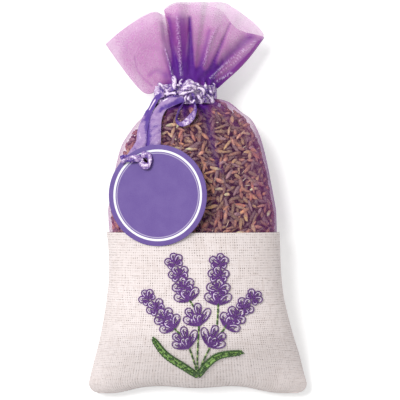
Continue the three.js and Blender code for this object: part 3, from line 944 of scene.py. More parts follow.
def thread_finish(name, colour, light):
    """Twisted embroidery thread, with painted glints in its grain"""
    finish = Finish(name)
    tree = finish.tree
    patches, grain = finish.mottle(tree.object_place(), 1.2 * MM, 0.3 * MM)
    base = tree.tint(rgb(colour), grain, 0.35, light)
    base = tree.tint(base, patches, 0.25, dimmed(colour, 0.4))
    finish.set(base_color=base, roughness=0.45, specular_ior_level=0.5, sheen_weight=0.2)
    finish.bump(grain, 0.1 * MM, 0.8)
    return finish.material


def plain_finish(name, colour, roughness, size):
    """One colour broken by soft patches and grain"""
    finish = Finish(name)
    tree = finish.tree
    patches, grain = finish.mottle(tree.object_place(), size, size / 8)
    base = tree.tint(rgb(colour), patches, 0.5, dimmed(colour, 0.5))
    finish.set(base_color=base, roughness=roughness)
    finish.bump(grain, size / 10, 0.6)
    return finish.material


# Linen pocket

HEM_TURN = 5 * MM
HEM_ROLL = 0.3 * MM
HEM_SHARE = 0.9
ROLL_SHARE = 0.4
EVEN_ROWS = 0.35
BOTTOM_WAVE = 0.35 * MM
BOTTOM_WAVE_LENGTH = 28 * MM
BOTTOM_WAVE_X = 13.5 * MM
BOTTOM_WAVE_REACH = 10 * MM
# How much longer the panel is than the pocket is high, because it runs over the filling
LINEN_ARC = 8 * MM
PUCKER_REACH = 13 * MM
PUCKER_FADE = (-4 * MM, 3 * MM)
PUCKER_GAIN = 1.2
# Place, depth and reach of each pucker along the bottom seam, in millimetres
PUCKERS = ((-30, 1.0, 5), (-22.5, -0.7, 4), (-12.5, 0.8, 5), (-4, -0.5, 4), (3.5, 0.5, 4), (10.5, 0.9, 5),
           (19, -0.7, 4.5), (29, 1.1, 5))
# Height in millimetres, size and seed of the linen's two layers of unevenness
LINEN_RIPPLES = ((0.35, 16 * MM, 3), (0.14, 5 * MM, 4))
RIPPLE_EDGE = 8 * MM
RIPPLE_START = 9 * MM
LINEN_COLUMNS = 150
LINEN_ROWS = 120


def pocket_relief(bag, x, y):
    """Puckers that run up from the bottom seam, and the linen's soft unevenness"""
    low, high = PUCKER_FADE
    above = np.clip((y - bag.seam_y) / PUCKER_REACH, 0, 1)
    fade = (1 - above) ** 2 * smooth(y, bag.seam_y + low, bag.seam_y + high)
    valley = sum(-depth * bump_at(x, middle * MM, reach * MM) for middle, depth, reach in PUCKERS)
    points = np.stack([x, y, np.zeros_like(x)], -1)
    uneven = sum(height * ripple(points, size, seed) for height, size, seed in LINEN_RIPPLES) * MM
    middle = smooth(bag.half_width(y) - np.abs(x), 0, RIPPLE_EDGE)
    puckers = bag.sizes.pucker_depth * PUCKER_GAIN * fade * valley
    return puckers + uneven * middle * smooth(y, bag.seam_y, bag.seam_y + RIPPLE_START)


def linen_place(bag, side, across, along):
    """A panel from the bottom seam up to the hem, where it rolls over and turns in"""
    angle = math.pi * (1 - across) if side > 0 else math.pi * across
    up = share(along, 0, HEM_SHARE)
    turn = share(along, HEM_SHARE, 1)
    y = mix(bag.seam_y, bag.hem_y, EVEN_ROWS * up + (1 - EVEN_ROWS) * (1 - np.cos(up * math.pi / 2)))
    roll = np.clip(turn / ROLL_SHARE, 0, 1) * math.pi
    y = y - HEM_ROLL + HEM_ROLL * np.sin(roll) - HEM_TURN * share(turn, ROLL_SHARE, 1)
    inset = HEM_ROLL * (1 - np.cos(roll))
    points = bag.point(side, angle, y, inset)
    wave = BOTTOM_WAVE * np.cos(2 * math.pi * (points[:, 0] - BOTTOM_WAVE_X) / BOTTOM_WAVE_LENGTH)
    low = 1 - smooth(y, bag.seam_y, bag.seam_y + BOTTOM_WAVE_REACH)
    points[:, 1] += wave * low * (1 - np.abs(np.cos(angle)) ** 4)
    if side > 0:
        points[:, 2] += pocket_relief(bag, points[:, 0], points[:, 1])
    return points, {}


def build_linen(context):
    bag = Bag(context.scene.sachet_bag)
    looks = context.scene.sachet_cloth
    material = linen_finish(looks)
    flat = (bag.sizes.corner_width, bag.hem_y - bag.seam_y + HEM_TURN + LINEN_ARC)
    for side, name in ((1, "linen_front"), (-1, "linen_back")):
        mesh = sheet_mesh(
            name + "_cloth", LINEN_COLUMNS, LINEN_ROWS,
            lambda across, along: linen_place(bag, side, across, along), flat)
        panel = add_piece(mesh, material, "sachet", "linen", name)
        thicken(panel, looks.linen_thickness)
        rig.sheet(panel, flat=flat, held="stretched", rests_on=["lavender_filling"])


# Organza pouch and frill

ORGANZA_INSET = 1.15 * MM
TUCK = 6 * MM
POUCH_SHARE = 0.5
BAND_SHARE = 0.56
PANEL_WIDTH = 80 * MM
# How much longer the panel is than from its tuck to the rim, because it runs over the filling
ORGANZA_ARC = 5 * MM
ORGANZA_COLUMNS = 260
ORGANZA_ROWS = 170
FAN_POWER = 0.92
FRILL_HALF = 30.15 * MM
FRILL_LENGTH = 33 * MM
FRILL_BILLOW = 2.2 * MM
FRILL_SOFTNESS = 0.35 * MM
FRILL_PATCH_SIZE = 7 * MM
FRILL_STREAK_SIZE = 2.4 * MM
STREAK_STRETCH = np.array([1, 0.3, 1])
LAYER_SPACING = 20 * MM
# Shares across the frill: where its left edge fades out, its right edge, and where its left lobe ends
LEFT_EDGE_SHARE = 0.30
RIGHT_EDGE_SHARE = 0.955
RIGHT_EDGE_REACH = 0.07
LEFT_LOBE = (0.2, 0.36)
# Strength and fade of the dark gathers at the neck, on the right and on the left
RIGHT_GATHERS = (0.95, 2.8)
LEFT_GATHERS = (0.9, 12)
FOLD_SHADE = 1.5
FOLD_START = (0.02, 0.2)
FOLD_END = (0.9, 1.0)
# Toward the rim the folds' shade fades, other than to the right of these places
FADE_START = (0.8, 1.0)
FADE_X = (8 * MM, 14 * MM)
FADE_AMOUNT = 0.8
BACK_CREASE_START = (0, 0.15)
BACK_CREASE_END = (0.4, 0.85)
# The rim's turned corner, where one layer lies behind the other and looks paler
HIDDEN_FRONT = (0.30, 0.55)
HIDDEN_BACK = (0.30, 0.40)
HIDDEN_START = (0.70, 0.97)
HIDDEN_PALENESS = 0.76
# The rims of both layers: share across, then x, y and z in millimetres
FRONT_RIM = (
    (0.00, -35.5, 58.8, 8.4), (0.10, -29.5, 63.8, 10.0), (0.20, -22.1, 68.9, 11.5), (0.27, -16.6, 71.0, 11.5),
    (0.30, -14.4, 70.4, 11.0), (0.33, -12.9, 69.2, 10.5), (0.38, -8.0, 68.8, 10.2), (0.43, -3.0, 68.6, 9.8),
    (0.46, -5.0, 69.2, 10.6), (0.50, -9.5, 70.8, 11.8), (0.54, -13.0, 71.4, 13.0), (0.57, -10.2, 73.0, 14.0),
    (0.62, -6.9, 73.8, 14.2), (0.70, 0.0, 73.5, 13.0), (0.77, 6.0, 72.6, 13.5), (0.82, 9.7, 70.4, 13.0),
    (0.87, 12.6, 66.8, 12.0), (0.91, 16.3, 63.8, 11.0), (0.96, 25.1, 61.6, 9.0), (1.00, 23.2, 60.0, 7.8),
)
BACK_RIM = (
    (0.00, -35.5, 58.8, 8.2), (0.10, -28.9, 64.6, 6.5), (0.20, -21.2, 69.5, 5.5), (0.27, -16.4, 71.2, 5.8),
    (0.30, -14.2, 70.6, 6.2), (0.345, -9.0, 69.0, 6.8), (0.37, -10.0, 70.2, 7.4), (0.40, -13.0, 71.7, 8.0),
    (0.43, -11.0, 73.9, 8.6), (0.50, -6.9, 74.9, 8.2), (0.60, 1.5, 75.0, 7.4), (0.70, 9.8, 74.9, 7.0),
    (0.76, 13.0, 73.3, 6.9), (0.82, 17.0, 70.6, 6.8), (0.90, 21.8, 66.8, 7.0), (0.96, 25.2, 62.6, 7.4),
    (1.00, 23.2, 60.0, 7.6),
)
# The frill's side edges from the neck to the rim, in millimetres
RIGHT_EDGE = (
    (6.4, 42.3, 14.0), (7.6, 41.3, 13.4), (11.1, 44.5, 12.0), (16.2, 49.4, 10.6), (20.4, 54.6, 9.4),
    (25.1, 61.6, 9.0),
)
LEFT_EDGE = (
    (-16.0, 42.3, 14.0), (-18.6, 39.8, 13.0), (-21.8, 40.5, 11.8), (-26.0, 45.2, 10.4), (-31.1, 52.2, 9.2),
    (-35.5, 58.8, 8.4),
)
# Folds of the frill's front: their course (x, y in mm), half width at its ends, height, painted shade, paler where
# negative, and painted glint
FRILL_FOLDS = (
    (((-11.2, 69.0), (-10.6, 62.8), (-10.0, 56.6), (-8.6, 50.0), (-7.6, 45.0)), 1.9, 2.9, -0.8, 0.46, 0.0),
    (((-6.6, 70.0), (-6.2, 62.0), (-5.6, 55.0), (-4.8, 46.0)), 5.8, 5.0, 0.0, 0.42, 0.0),
    (((-3.1, 68.6), (-2.8, 60.5), (-2.6, 53.0), (-2.7, 45.8)), 1.3, 2.2, -0.9, 0.52, 0.0),
    (((-7.9, 68.0), (-7.2, 58.0), (-6.9, 53.0), (-6.4, 46.6)), 1.3, 1.1, 0.8, -0.06, 0.42),
    (((4.3, 63.4), (2.4, 56.0), (0.6, 48.3)), 1.3, 1.8, -0.5, 0.30, 0.0),
    (((12.2, 66.3), (8.5, 57.4), (4.7, 48.3), (3.9, 45.4)), 1.0, 2.3, -0.9, 0.46, 0.0),
    (((7.6, 65.3), (4.7, 59.1), (2.3, 50.4)), 1.5, 1.2, 0.6, 0.10, 0.34),
    (((20.3, 61.6), (16.6, 58.6), (13.0, 55.2), (9.6, 51.6), (6.4, 48.2)), 3.9, 2.6, -0.9, 0.47, 0.0),
    (((17.6, 56.6), (13.2, 53.0), (8.9, 49.5), (4.7, 45.4)), 0.8, 0.7, 0.7, 0.0, 0.6),
    (((21.7, 59.9), (18.0, 56.0), (14.3, 52.0), (6.0, 45.4)), 0.7, 0.7, 0.5, -0.05, 0.5),
    (((12.6, 47.5), (9.8, 45.8), (7.2, 44.2)), 0.8, 0.7, 0.3, 0.0, 0.5),
    (((24.6, 60.2), (20.0, 55.0), (14.9, 49.9), (10.2, 45.4), (7.0, 42.2)), 3.6, 3.4, 0.0, 0.42, 0.0),
    (((-1.0, 47.0), (2.0, 46.4), (4.6, 45.6)), 3.6, 3.2, 0.0, 0.42, 0.0),
    (((-13.4, 66.6), (-12.9, 60.1), (-11.6, 53.2), (-9.7, 46.7)), 1.5, 1.9, -0.4, 0.26, 0.0),
    (((-12.4, 56.5), (-11.1, 51.8), (-9.7, 46.7)), 0.6, 0.7, 0.5, 0.0, 0.6),
    (((-21.2, 66.6), (-25.6, 62.9), (-28.4, 57.8), (-27.9, 52.3), (-25.6, 48.1)), 2.6, 2.2, -0.4, 0.10, 0.0),
    (((-24.1, 53.6), (-23.1, 48.6), (-20.8, 45.3), (-17.6, 42.5)), 0.7, 0.9, -0.5, 0.26, 0.0),
    (((-20.5, 57.4), (-16.6, 57.6), (-13.6, 55.0)), 2.2, 1.8, 0.4, 0.08, 0.0),
    (((-24.4, 51.6), (-22.6, 46.6), (-19.4, 43.2)), 2.0, 1.4, 0.3, -0.08, 0.0),
    (((-18.6, 46.6), (-15.6, 48.2), (-12.6, 46.4)), 1.4, 2.4, -0.4, 0.26, 0.0),
    (((-34.0, 58.6), (-29.6, 52.0), (-24.6, 45.2), (-19.8, 41.4)), 4.6, 3.6, 0.0, -0.22, 0.0),
    (((-31.0, 62.6), (-22.0, 68.4), (-15.5, 70.4)), 4.0, 3.4, 0.0, -0.13, 0.0),
    (((-8.0, 72.4), (1.0, 72.4), (9.0, 69.6)), 5.4, 4.6, 0.0, -0.30, 0.0),
    (((2.0, 68.0), (6.0, 66.0), (12.0, 62.0)), 3.4, 3.0, 0.0, -0.08, 0.0),
)
# Creases of the frill's back: shares across at the neck and at the rim, half width, height in mm and shade
BACK_CREASES = (
    (0.14, 0.15, 0.040, -0.6, 0.12),
    (0.40, 0.40, 0.060, 0.6, 0.25),
    (0.52, 0.52, 0.050, -0.7, 0.25),
    (0.64, 0.65, 0.040, 0.7, 0.20),
    (0.76, 0.78, 0.040, -0.7, 0.20),
    (0.90, 0.91, 0.040, 0.7, 0.25),
)
# Crests and valleys of the gathers in turn, as shares of the half width from the middle
FOLD_PLACES = (-1, -0.7, -0.45, -0.217, -0.091, 0.065, 0.21, 0.3, 0.41, 0.58, 0.69, 0.79, 0.91, 1)
NECK_PLEAT_DEPTH = 0.8 * MM
FLUTE_DEPTH = 1.2 * MM
# Folds of the pouch's front, given as the frill's are
POUCH_FOLDS = (
    (((0.6, 36.2), (2.5, 32.4), (3.8, 29.2), (4.3, 25.6), (4.9, 23.0), (6.0, 17.5), (7.4, 12.9), (9.0, 10.1)),
     3.6, 1.5, -1.0, 0.95, 0.0),
    (((5.6, 36.0), (9.0, 32.2), (12.2, 29.0), (14.8, 27.2)), 1.7, 1.3, -0.4, 0.40, 0.0),
    (((-6.4, 35.6), (-9.6, 34.4), (-12.6, 33.2), (-14.0, 32.0)), 1.9, 1.6, 0.3, 0.80, 0.0),
    (((-4.4, 35.0), (-4.9, 32.6), (-5.0, 30.8)), 2.6, 2.3, -0.3, 0.85, 0.0),
    (((-8.4, 34.8), (-10.0, 32.4), (-12.0, 30.4)), 2.4, 1.6, 0.0, 0.22, 0.0),
    (((9.3, 36.6), (13.6, 33.6), (18.0, 29.6), (20.6, 26.2)), 1.2, 1.2, 0.0, 0.0, 0.14),
)
SHEER_COVER = 0.44
POUCH_COVER = 0.08
# How the pouch puffs up beside the tie: from which share of its half width, how far below, how wide and high
PUFF_SHARES = (0.3, 0.95)
PUFF_DROP = 1 * MM
PUFF_REACH = 3.5 * MM
PUFF_HEIGHT = 1.8 * MM
PLEAT_REACH = 13 * MM
PLEAT_SHADE = 0.35
TIE_SHADE = 0.9
TIE_SHADE_REACH = (-3.2 * MM, -0.8 * MM)
SHOULDER_Y = (19 * MM, 30 * MM)
# How far the filling keeps off the pouch's side edges, in millimetres: height, left edge and right edge
SIDE_GAPS = ((-13.2, 0.0, 0.0), (10.0, 0.4, 0.1), (20.0, 0.4, 0.4), (27.0, 0.4, 1.4), (35.7, 0.3, 1.9))


def fold_wave(q):
    """1 on a crest of the gathers and -1 in a valley"""
    return np.cos(math.pi * np.interp(q, FOLD_PLACES, np.arange(len(FOLD_PLACES))))


def off_straight(course, t, fan):
    """How far a curved edge lies from the straight line between its ends"""
    ends = np.array([course[0], course[-1]])
    return (through(course, t) - mix(ends[0], ends[1], fan[:, None])) * MM


def along_fold(x, y, course, first, last):
    """How near each place is to a fold, 0 to 1, and how far along its course it is"""
    t = np.linspace(0, 1, 28)
    line = through(course, t) * MM
    away = np.hypot(x[:, None] - line[:, 0], y[:, None] - line[:, 1])
    nearest = np.argmin(away, axis=1)
    long = t[nearest]
    reach = mix(first, last, long) * MM
    return np.clip(1 - away[np.arange(len(x)), nearest] / reach, 0, 1), long


def folded(points, folds):
    """Shade, glint and height that a list of folds gives to places"""
    shade = np.zeros(len(points))
    glint, height = shade.copy(), shade.copy()
    for course, first, last, rise, dark, shine in folds:
        near, long = along_fold(points[:, 0], points[:, 1], course, first, last)
        near = near * near * (3 - 2 * near)
        shade += dark * near
        glint += shine * near
        height += rise * MM * near
    return shade, glint, height


def frill_place(bag, side, across, t):
    """The frill fans out from the neck, folded back on itself, with its creases"""
    rim = through_knots(FRONT_RIM if side > 0 else BACK_RIM, across) * MM
    angle = math.pi * (1 - across)
    start = bag.point(side, angle, np.full(len(across), bag.neck_high_y), LINEN_DEPTH)
    fan = t ** FAN_POWER
    points = start + (rim - start) * fan[:, None]
    at_left = 1 - smooth(across, 0, LEFT_EDGE_SHARE)
    at_right = bump_at(across, RIGHT_EDGE_SHARE, RIGHT_EDGE_REACH)
    points += off_straight(LEFT_EDGE, t, fan) * at_left[:, None]
    points += off_straight(RIGHT_EDGE, t, fan) * at_right[:, None]
    middle = mix(bag.neck_x, (points[:, 0].min() + points[:, 0].max()) / 2, t)
    q = np.clip((points[:, 0] - middle) / mix(bag.neck_half, FRILL_HALF, t), -1, 1)
    points[:, 2] += FLUTE_DEPTH * t * fold_wave(q) * (1 - q * q)
    points[:, 2] += side * FRILL_BILLOW * np.sin(math.pi * t) * np.sin(angle)
    (right, right_fade), (left, left_fade) = RIGHT_GATHERS, LEFT_GATHERS
    gather = mix(right * (1 - t) ** right_fade, left * (1 - t) ** left_fade, 1 - smooth(across, *LEFT_LOBE))
    crest = np.zeros_like(across)
    if side > 0:
        # Painted shade and painted glints of the folds: the shade deepens the colour and the cover, and negative shade
        # makes them paler
        shade, crest, height = folded(points, FRILL_FOLDS)
        points[:, 2] += height * smooth(t, *FOLD_START) * (1 - smooth(t, *FOLD_END))
        faded = 1 - FADE_AMOUNT * smooth(t, *FADE_START) * (1 - smooth(points[:, 0], *FADE_X))
        gather = gather + FOLD_SHADE * np.where(shade > 0, shade * faded, shade)
    else:
        for neck, end, width, height, shade in BACK_CREASES:
            ridge = np.clip(1 - np.abs(across - mix(neck, end, t)) / width, 0, 1)
            long = smooth(t, *BACK_CREASE_START) * (1 - smooth(t, *BACK_CREASE_END))
            points[:, 2] += height * MM * ridge * long
            gather = gather + shade * ridge * long
    flat = np.stack([across * PANEL_WIDTH, t * FRILL_LENGTH, np.full(len(t), side * LAYER_SPACING)], -1)
    soft = ripple(flat, FRILL_PATCH_SIZE, 6)
    gather = gather + 0.05 * ripple(flat * STREAK_STRETCH, FRILL_STREAK_SIZE, 7)
    points[:, 2] += FRILL_SOFTNESS * soft * smooth(t, 0.1, 0.4)
    first, last = HIDDEN_FRONT if side > 0 else HIDDEN_BACK
    hidden = smooth(across, first, first + 0.04) * (1 - smooth(across, last - 0.02, last))
    return points, gather + 0.03 * soft, crest, hidden * smooth(t, *HIDDEN_START)


def pouch_point(bag, side, angle, y, inset):
    """A place on the pouch as the loose filling gives it, and how far it puffs up beside the tie"""
    points = bag.point(side, angle, y, inset)
    puff = smooth(np.cos(angle), *PUFF_SHARES) * bump_at(y, bag.neck_low_y - PUFF_DROP, PUFF_REACH)
    puff *= y < bag.neck_low_y + TIE_EDGE
    points[:, 1] += PUFF_HEIGHT * puff
    return points, puff


def pouch_place(bag, side, across, y):
    """The organza hugs the filling and gathers towards the neck"""
    angle = math.pi * (1 - across)
    near_neck = smooth(y, bag.neck_low_y - PLEAT_REACH, bag.neck_low_y)
    points, puff = pouch_point(bag, side, angle, y, ORGANZA_INSET)
    outward = np.stack([np.cos(angle), np.zeros_like(angle), side * np.sin(angle)], -1)
    pleat = fold_wave(np.cos(angle))
    level = NECK_PLEAT_DEPTH * pleat * near_neck
    # Painted shade of the pleats near the neck, and the tie's painted shadow on the organza just below it
    gather = near_neck**4 * PLEAT_SHADE * (0.6 + 0.4 * pleat)
    low, high = TIE_SHADE_REACH
    gather += TIE_SHADE * smooth(y, bag.neck_low_y + low, bag.neck_low_y + high) * (1 - puff)
    crest = np.zeros_like(across)
    cover = POUCH_COVER + 0.6 * gather
    if side > 0:
        # The folds' painted shade deepens the colour and the cover
        shade, crest, height = folded(points, POUCH_FOLDS)
        level = level + height
        gather += shade
        cover += 0.3 * shade
    # Towards the side edges more layers are seen edge-on, so cover and colour deepen; the right edge also gets painted
    # shade, deepest below the shoulder
    edge = 1 - np.sin(angle)
    right = smooth(np.cos(angle), 0.5, 1)
    shoulder = smooth(y, *SHOULDER_Y)
    gather += edge**3 * mix(0.05, 0.8 * (1 - shoulder), right)
    cover += edge**2 * mix(0.42, mix(0.62, 0.52, shoulder), right)
    return points + outward * level[:, None], gather, cover, crest


def organza_place(bag, side, across, along):
    """A panel from its tuck in the hem over the pouch and under the tie to the rim of the frill"""
    if side < 0:
        across = 1 - across
    pouch_y = mix(bag.hem_y - TUCK, bag.neck_low_y, share(along, 0, POUCH_SHARE))
    band_y = mix(0, bag.neck_high_y - bag.neck_low_y, share(along, POUCH_SHARE, BAND_SHARE))
    pouch, pouch_gather_and_shade, pouch_cover, pouch_glint = pouch_place(bag, side, across, pouch_y + band_y)
    t = share(along, BAND_SHARE, 1)
    frill, frill_gather_and_shade, frill_glint, hidden = frill_place(bag, side, across, t)
    pleat = NECK_PLEAT_DEPTH * fold_wave(-np.cos(math.pi * across)) * side
    frill[:, 2] += pleat * (1 - smooth(t, 0, 0.12))
    in_frill = along > BAND_SHARE
    points = np.where(in_frill[:, None], frill, pouch)
    # Darkness from gathered layers and from painted shade, and the painted glints that the crest attribute carries
    gather = np.minimum(np.where(in_frill, frill_gather_and_shade, pouch_gather_and_shade), 1)
    frill_cover = np.clip(SHEER_COVER * (1 - HIDDEN_PALENESS * hidden) + 0.55 * gather, 0, 0.97)
    cover = np.where(in_frill, frill_cover, np.clip(pouch_cover, 0, 0.9))
    crest = np.clip(np.where(in_frill, frill_glint, pouch_glint), 0, 1)
    return points, {"gather": np.maximum(gather, 0), "cover": cover, "crest": crest}


def build_organza(context):
    bag = Bag(context.scene.sachet_bag)
    material = organza_finish(context.scene.sachet_cloth)
    flat = (PANEL_WIDTH, bag.top_y - bag.hem_y + TUCK + ORGANZA_ARC)
    for side, name in ((1, "organza_front"), (-1, "organza_back")):
        mesh = sheet_mesh(
            name + "_cloth", ORGANZA_COLUMNS, ORGANZA_ROWS,
            lambda across, along: organza_place(bag, side, across, along), flat)
        panel = add_piece(mesh, material, "sachet", "organza", name)
        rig.sheet(panel, flat=flat, held="gathered", rests_on=["lavender_filling"])


# Lavender filling

CORE_INSET = 5.2 * MM
CORE_COLUMNS = 120
CORE_ROWS = 90
CORE_FLAT = (0.2, 0.12)
CORE_LUMPS = 0.5 * MM
CORE_LUMP_SIZE = 3 * MM
# Colour of the filling under the buds: its own colour darkened to near black as painted shade in the gaps between them
CORE_SHADE_COLOUR = (0.06, 0.032, 0.04)
# How far the filling keeps from the bottom seam and from the tie
CORE_MARGINS = (4 * MM, 1.2 * MM)
BUD_MARGINS = (4 * MM, 0.9 * MM)
# How deep each layer of buds lies below the cloth, in millimetres
BUD_INSETS = (2.5, 3.6, 4.7)
BUD_ROWS_APART = 0.8
HUSK_RADIUS = 0.16
HUSK_SWELL = 1.9
HUSK_FULLEST = 0.1
HUSK_BLUNTNESS = 2.6
HUSK_RIBS = 6
HUSK_RIB_DEPTH = 0.8
HUSK_BEND = 0.12
BUD_PROBE = 0.02
BUD_PROBE_DROP = BUD_PROBE * MM * 10
ANGLE_STEPS = 160
ANGLE_MARGIN = 0.02
# How the buds sink under the pouch's folds: how soon, how deep in millimetres and how much painted shade darkens them
SINK_GAIN = 2.2
SINK_DEPTH = 1.3
SINK_SHADE = 0.85
STRAW_SHARE = 0.06
STRAW_WIDTH = 0.25
BUD_COLOURS = (
    (0.58, 0.245, 0.10), (0.45, 0.27, 0.10), (0.52, 0.22, 0.13), (0.23, 0.13, 0.14), (0.43, 0.14, 0.07),
    (0.075, 0.035, 0.03), (0.68, 0.42, 0.22), (0.30, 0.13, 0.06), (0.20, 0.11, 0.12), (0.22, 0.13, 0.05),
)
# How bright each layer of buds is: the deeper ones lie in the shade of those above
LAYER_SHADES = (1.42, 0.7, 0.38)
STRAW_COLOUR = (0.68, 0.46, 0.32)


def bud_template():
    """A dried husk, 1 long and almost as wide: ribbed, fuller in the middle and a little bent"""
    husk = bmesh.new()
    husk.loops.layers.uv.new(CLOTH_UV)
    bmesh.ops.create_cone(
        husk, cap_ends=True, segments=HUSK_RIBS, radius1=HUSK_RADIUS, radius2=HUSK_RADIUS, depth=1.0,
        calc_uvs=True)
    sides = [f for f in husk.faces if len(f.verts) == 4]
    rings = [e for f in sides for e in f.edges if abs(e.verts[0].co.z - e.verts[1].co.z) > 0.5]
    bmesh.ops.subdivide_edges(husk, edges=list(set(rings)), cuts=3)
    for vertex in husk.verts:
        z = vertex.co.z
        swell = 1.0 + HUSK_SWELL * max(0.0, 1 - abs(2 * z + HUSK_FULLEST) ** HUSK_BLUNTNESS)
        turn = math.degrees(math.atan2(vertex.co.y, vertex.co.x))
        rib = 1.0 if round(turn / 60) % 2 else HUSK_RIB_DEPTH
        vertex.co.x = vertex.co.x * swell * rib + HUSK_BEND * z * z
        vertex.co.y *= swell * rib
    return finished(husk, "husk")


def filling_point(bag, side, angle, y, inset):
    """A place in the filling, which keeps off the side edges"""
    cosine = np.cos(angle)
    gap = by_edge(SIDE_GAPS, cosine, y) * smooth(np.abs(cosine), 0.55, 1)
    return pouch_point(bag, side, angle, y, inset + gap)[0]


def core_place(bag, across, along):
    """The mass of the filling: across goes round it and along runs from the bottom to the neck"""
    turn = across * 2 * math.pi
    low, high = CORE_MARGINS
    y = mix(bag.seam_y + low, bag.neck_low_y - high, (1 - np.cos(along * math.pi)) / 2)
    end = np.sqrt(np.clip(1 - np.abs(2 * along - 1) ** 14, 0, 1))
    upper = np.sin(turn) >= 0
    angle = np.where(upper, turn, 2 * math.pi - turn)
    front = filling_point(bag, 1, angle, y, CORE_INSET)
    back = filling_point(bag, -1, angle, y, CORE_INSET)
    points = np.where(upper[:, None], front, back)
    axis = np.stack([bag.lean(y), y, bag.seam_height(y)], -1)
    points = axis + (points - axis) * end[:, None]
    away = unit(points - axis + 1e-9)
    return points + away * (CORE_LUMPS * ripple(points, CORE_LUMP_SIZE, 8))[:, None], {}


def bud_places(bag, side, looks, chance):
    """Angle, height, inset and layer of each bud, row by row"""
    low_y = bag.hem_y - BUD_MARGINS[0]
    high_y = bag.neck_low_y - BUD_MARGINS[1]
    rows = int((high_y - low_y) / (looks.bud_spacing * BUD_ROWS_APART))
    angles = np.linspace(ANGLE_MARGIN, math.pi - ANGLE_MARGIN, ANGLE_STEPS)
    for layer in range(looks.bud_layers):
        inset = BUD_INSETS[layer] * MM
        for row in range(rows):
            y = low_y + (row + 0.5) * (high_y - low_y) / rows
            run = travelled(filling_point(bag, side, angles, np.full(ANGLE_STEPS, y), inset))
            count = max(3, int(run[-1] / looks.bud_spacing))
            places = [(i + 0.5 + chance.uniform(-0.45, 0.45)) / count * run[-1] for i in range(count)]
            for place in (0.0, *places):
                at_y = min(y + chance.uniform(-1.3, 1.3) * MM, high_y)
                depth = inset + chance.uniform(0, 0.5) * MM
                yield float(np.interp(place, run, angles)), at_y, depth, layer


def build_buds(context, side, name, material):
    """Scatters the buds of one side, each turned, tilted, sized and coloured by chance, with painted shade on the
    deeper layers and under the pouch's folds
    """
    bag = Bag(context.scene.sachet_bag)
    looks = context.scene.sachet_filling
    chance = random.Random(looks.seed + side)
    template = bud_template()
    # The husk colour of each bud is its own colour times its painted shade
    template.attributes.new("husk", "FLOAT_COLOR", "POINT")
    vertices = len(template.vertices)
    heights = np.array([v.co.z for v in template.vertices])
    heap = bmesh.new()
    for angle, y, inset, layer in bud_places(bag, side, looks, chance):
        angles = np.array([angle, angle + BUD_PROBE, angle])
        here, round_it, up_it = filling_point(
            bag, side, angles, np.array([y, y, y - BUD_PROBE_DROP]), inset)
        across = Vector(round_it - here).normalized()
        along = Vector(up_it - here).normalized()
        normal = across.cross(along).normalized()
        if normal.z * side < 0:
            normal.negate()
        turn = chance.uniform(0, math.pi)
        way = across * math.cos(turn) + along * math.sin(turn)
        tilt = 0.2 + 0.15 * layer
        way = (way + normal * chance.uniform(-tilt, tilt)).normalized()
        side_way = normal.cross(way).normalized()
        sunk = min(folded(here[None], POUCH_FOLDS)[0][0] * SINK_GAIN, 1) if side > 0 else 0
        straw = chance.random() < STRAW_SHARE
        size = looks.bud_length * (chance.uniform(0.2, 0.8) if straw else chance.uniform(0.5, 1.3))
        width = looks.bud_width * (STRAW_WIDTH if straw else chance.uniform(0.7, 1.2))
        turned = Matrix((side_way * width, side_way.cross(way) * width, way * size)).transposed().to_4x4()
        turned.translation = Vector(here) - normal * SINK_DEPTH * MM * sunk
        tint = STRAW_COLOUR if straw else chance.choice(BUD_COLOURS)
        # Painted shade: deeper layers and buds sunk under the pouch's folds are darker
        shade = chance.uniform(0.6, 1.45) * LAYER_SHADES[layer] * (1 - SINK_SHADE * sunk)
        tone = np.ones((vertices, 4))
        tone[:, :3] = np.array(tint) * shade * (1.0 + 0.9 * heights)[:, None]
        bud = template.copy()
        bud.attributes["husk"].data.foreach_set("color", np.clip(tone, 0, 1).ravel())
        bud.transform(turned)
        heap.from_mesh(bud)
        bpy.data.meshes.remove(bud)
    bpy.data.meshes.remove(template)
    add_piece(finished(heap, name), material, "sachet", "lavender")


def build_filling(context):
    bag = Bag(context.scene.sachet_bag)
    core = sheet_mesh(
        "filling_core", CORE_COLUMNS, CORE_ROWS,
        lambda across, along: core_place(bag, across, along), CORE_FLAT)
    dark = plain_finish("Lavender core in painted shade", CORE_SHADE_COLOUR, 0.9, 3 * MM)
    body = add_piece(weld(core, 0.02 * MM), dark, "sachet", "lavender", "lavender_filling")
    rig.padded(body, fill=0.9)
    material = bud_finish()
    build_buds(context, 1, "lavender_buds_front", material)
    build_buds(context, -1, "lavender_buds_back", material)


# Ribbons

# Parts of the satin's tone: the painted shade at a fold's edges, the painted shade and highlight its creases add, and
# what a tail starts from
EDGE_SHADE = 0.72
CREASE_SHADE = 0.6
TAIL_TONE = 0.46
# Routes of the two ribbon tails that hold the tag, in millimetres: x, y, z, width and sideways slope
RIGHT_TAIL = (
    (-5.2, 37.6, 21.2, 2.6, 0), (-10.1, 36.2, 20.5, 3.8, -0.15), (-13.2, 34.3, 20.0, 4.2, -0.7),
    (-15.5, 30.5, 21.9, 4.4, -0.4), (-16.3, 25.5, 24.0, 4.9, -0.25), (-16.5, 20.5, 25.7, 5.2, -0.22),
    (-17.5, 16.4, 26.5, 4.6, -0.22), (-19.2, 14.0, 26.6, 3.4, -0.2),
)
LEFT_TAIL = (
    (-12.7, 39.3, 19.6, 2.6, -0.9), (-15.3, 38.0, 17.3, 2.9, -1.1), (-17.3, 34.6, 17.6, 3.0, -1.2),
    (-19.3, 30.5, 20.1, 3.5, -0.8), (-20.8, 25.5, 22.2, 4.2, -0.5), (-21.3, 20.5, 23.9, 4.5, -0.36),
    (-23.7, 16.4, 24.8, 4.6, -0.28), (-26.0, 14.2, 24.9, 3.4, -0.2),
)
TAIL_ROWS = 90
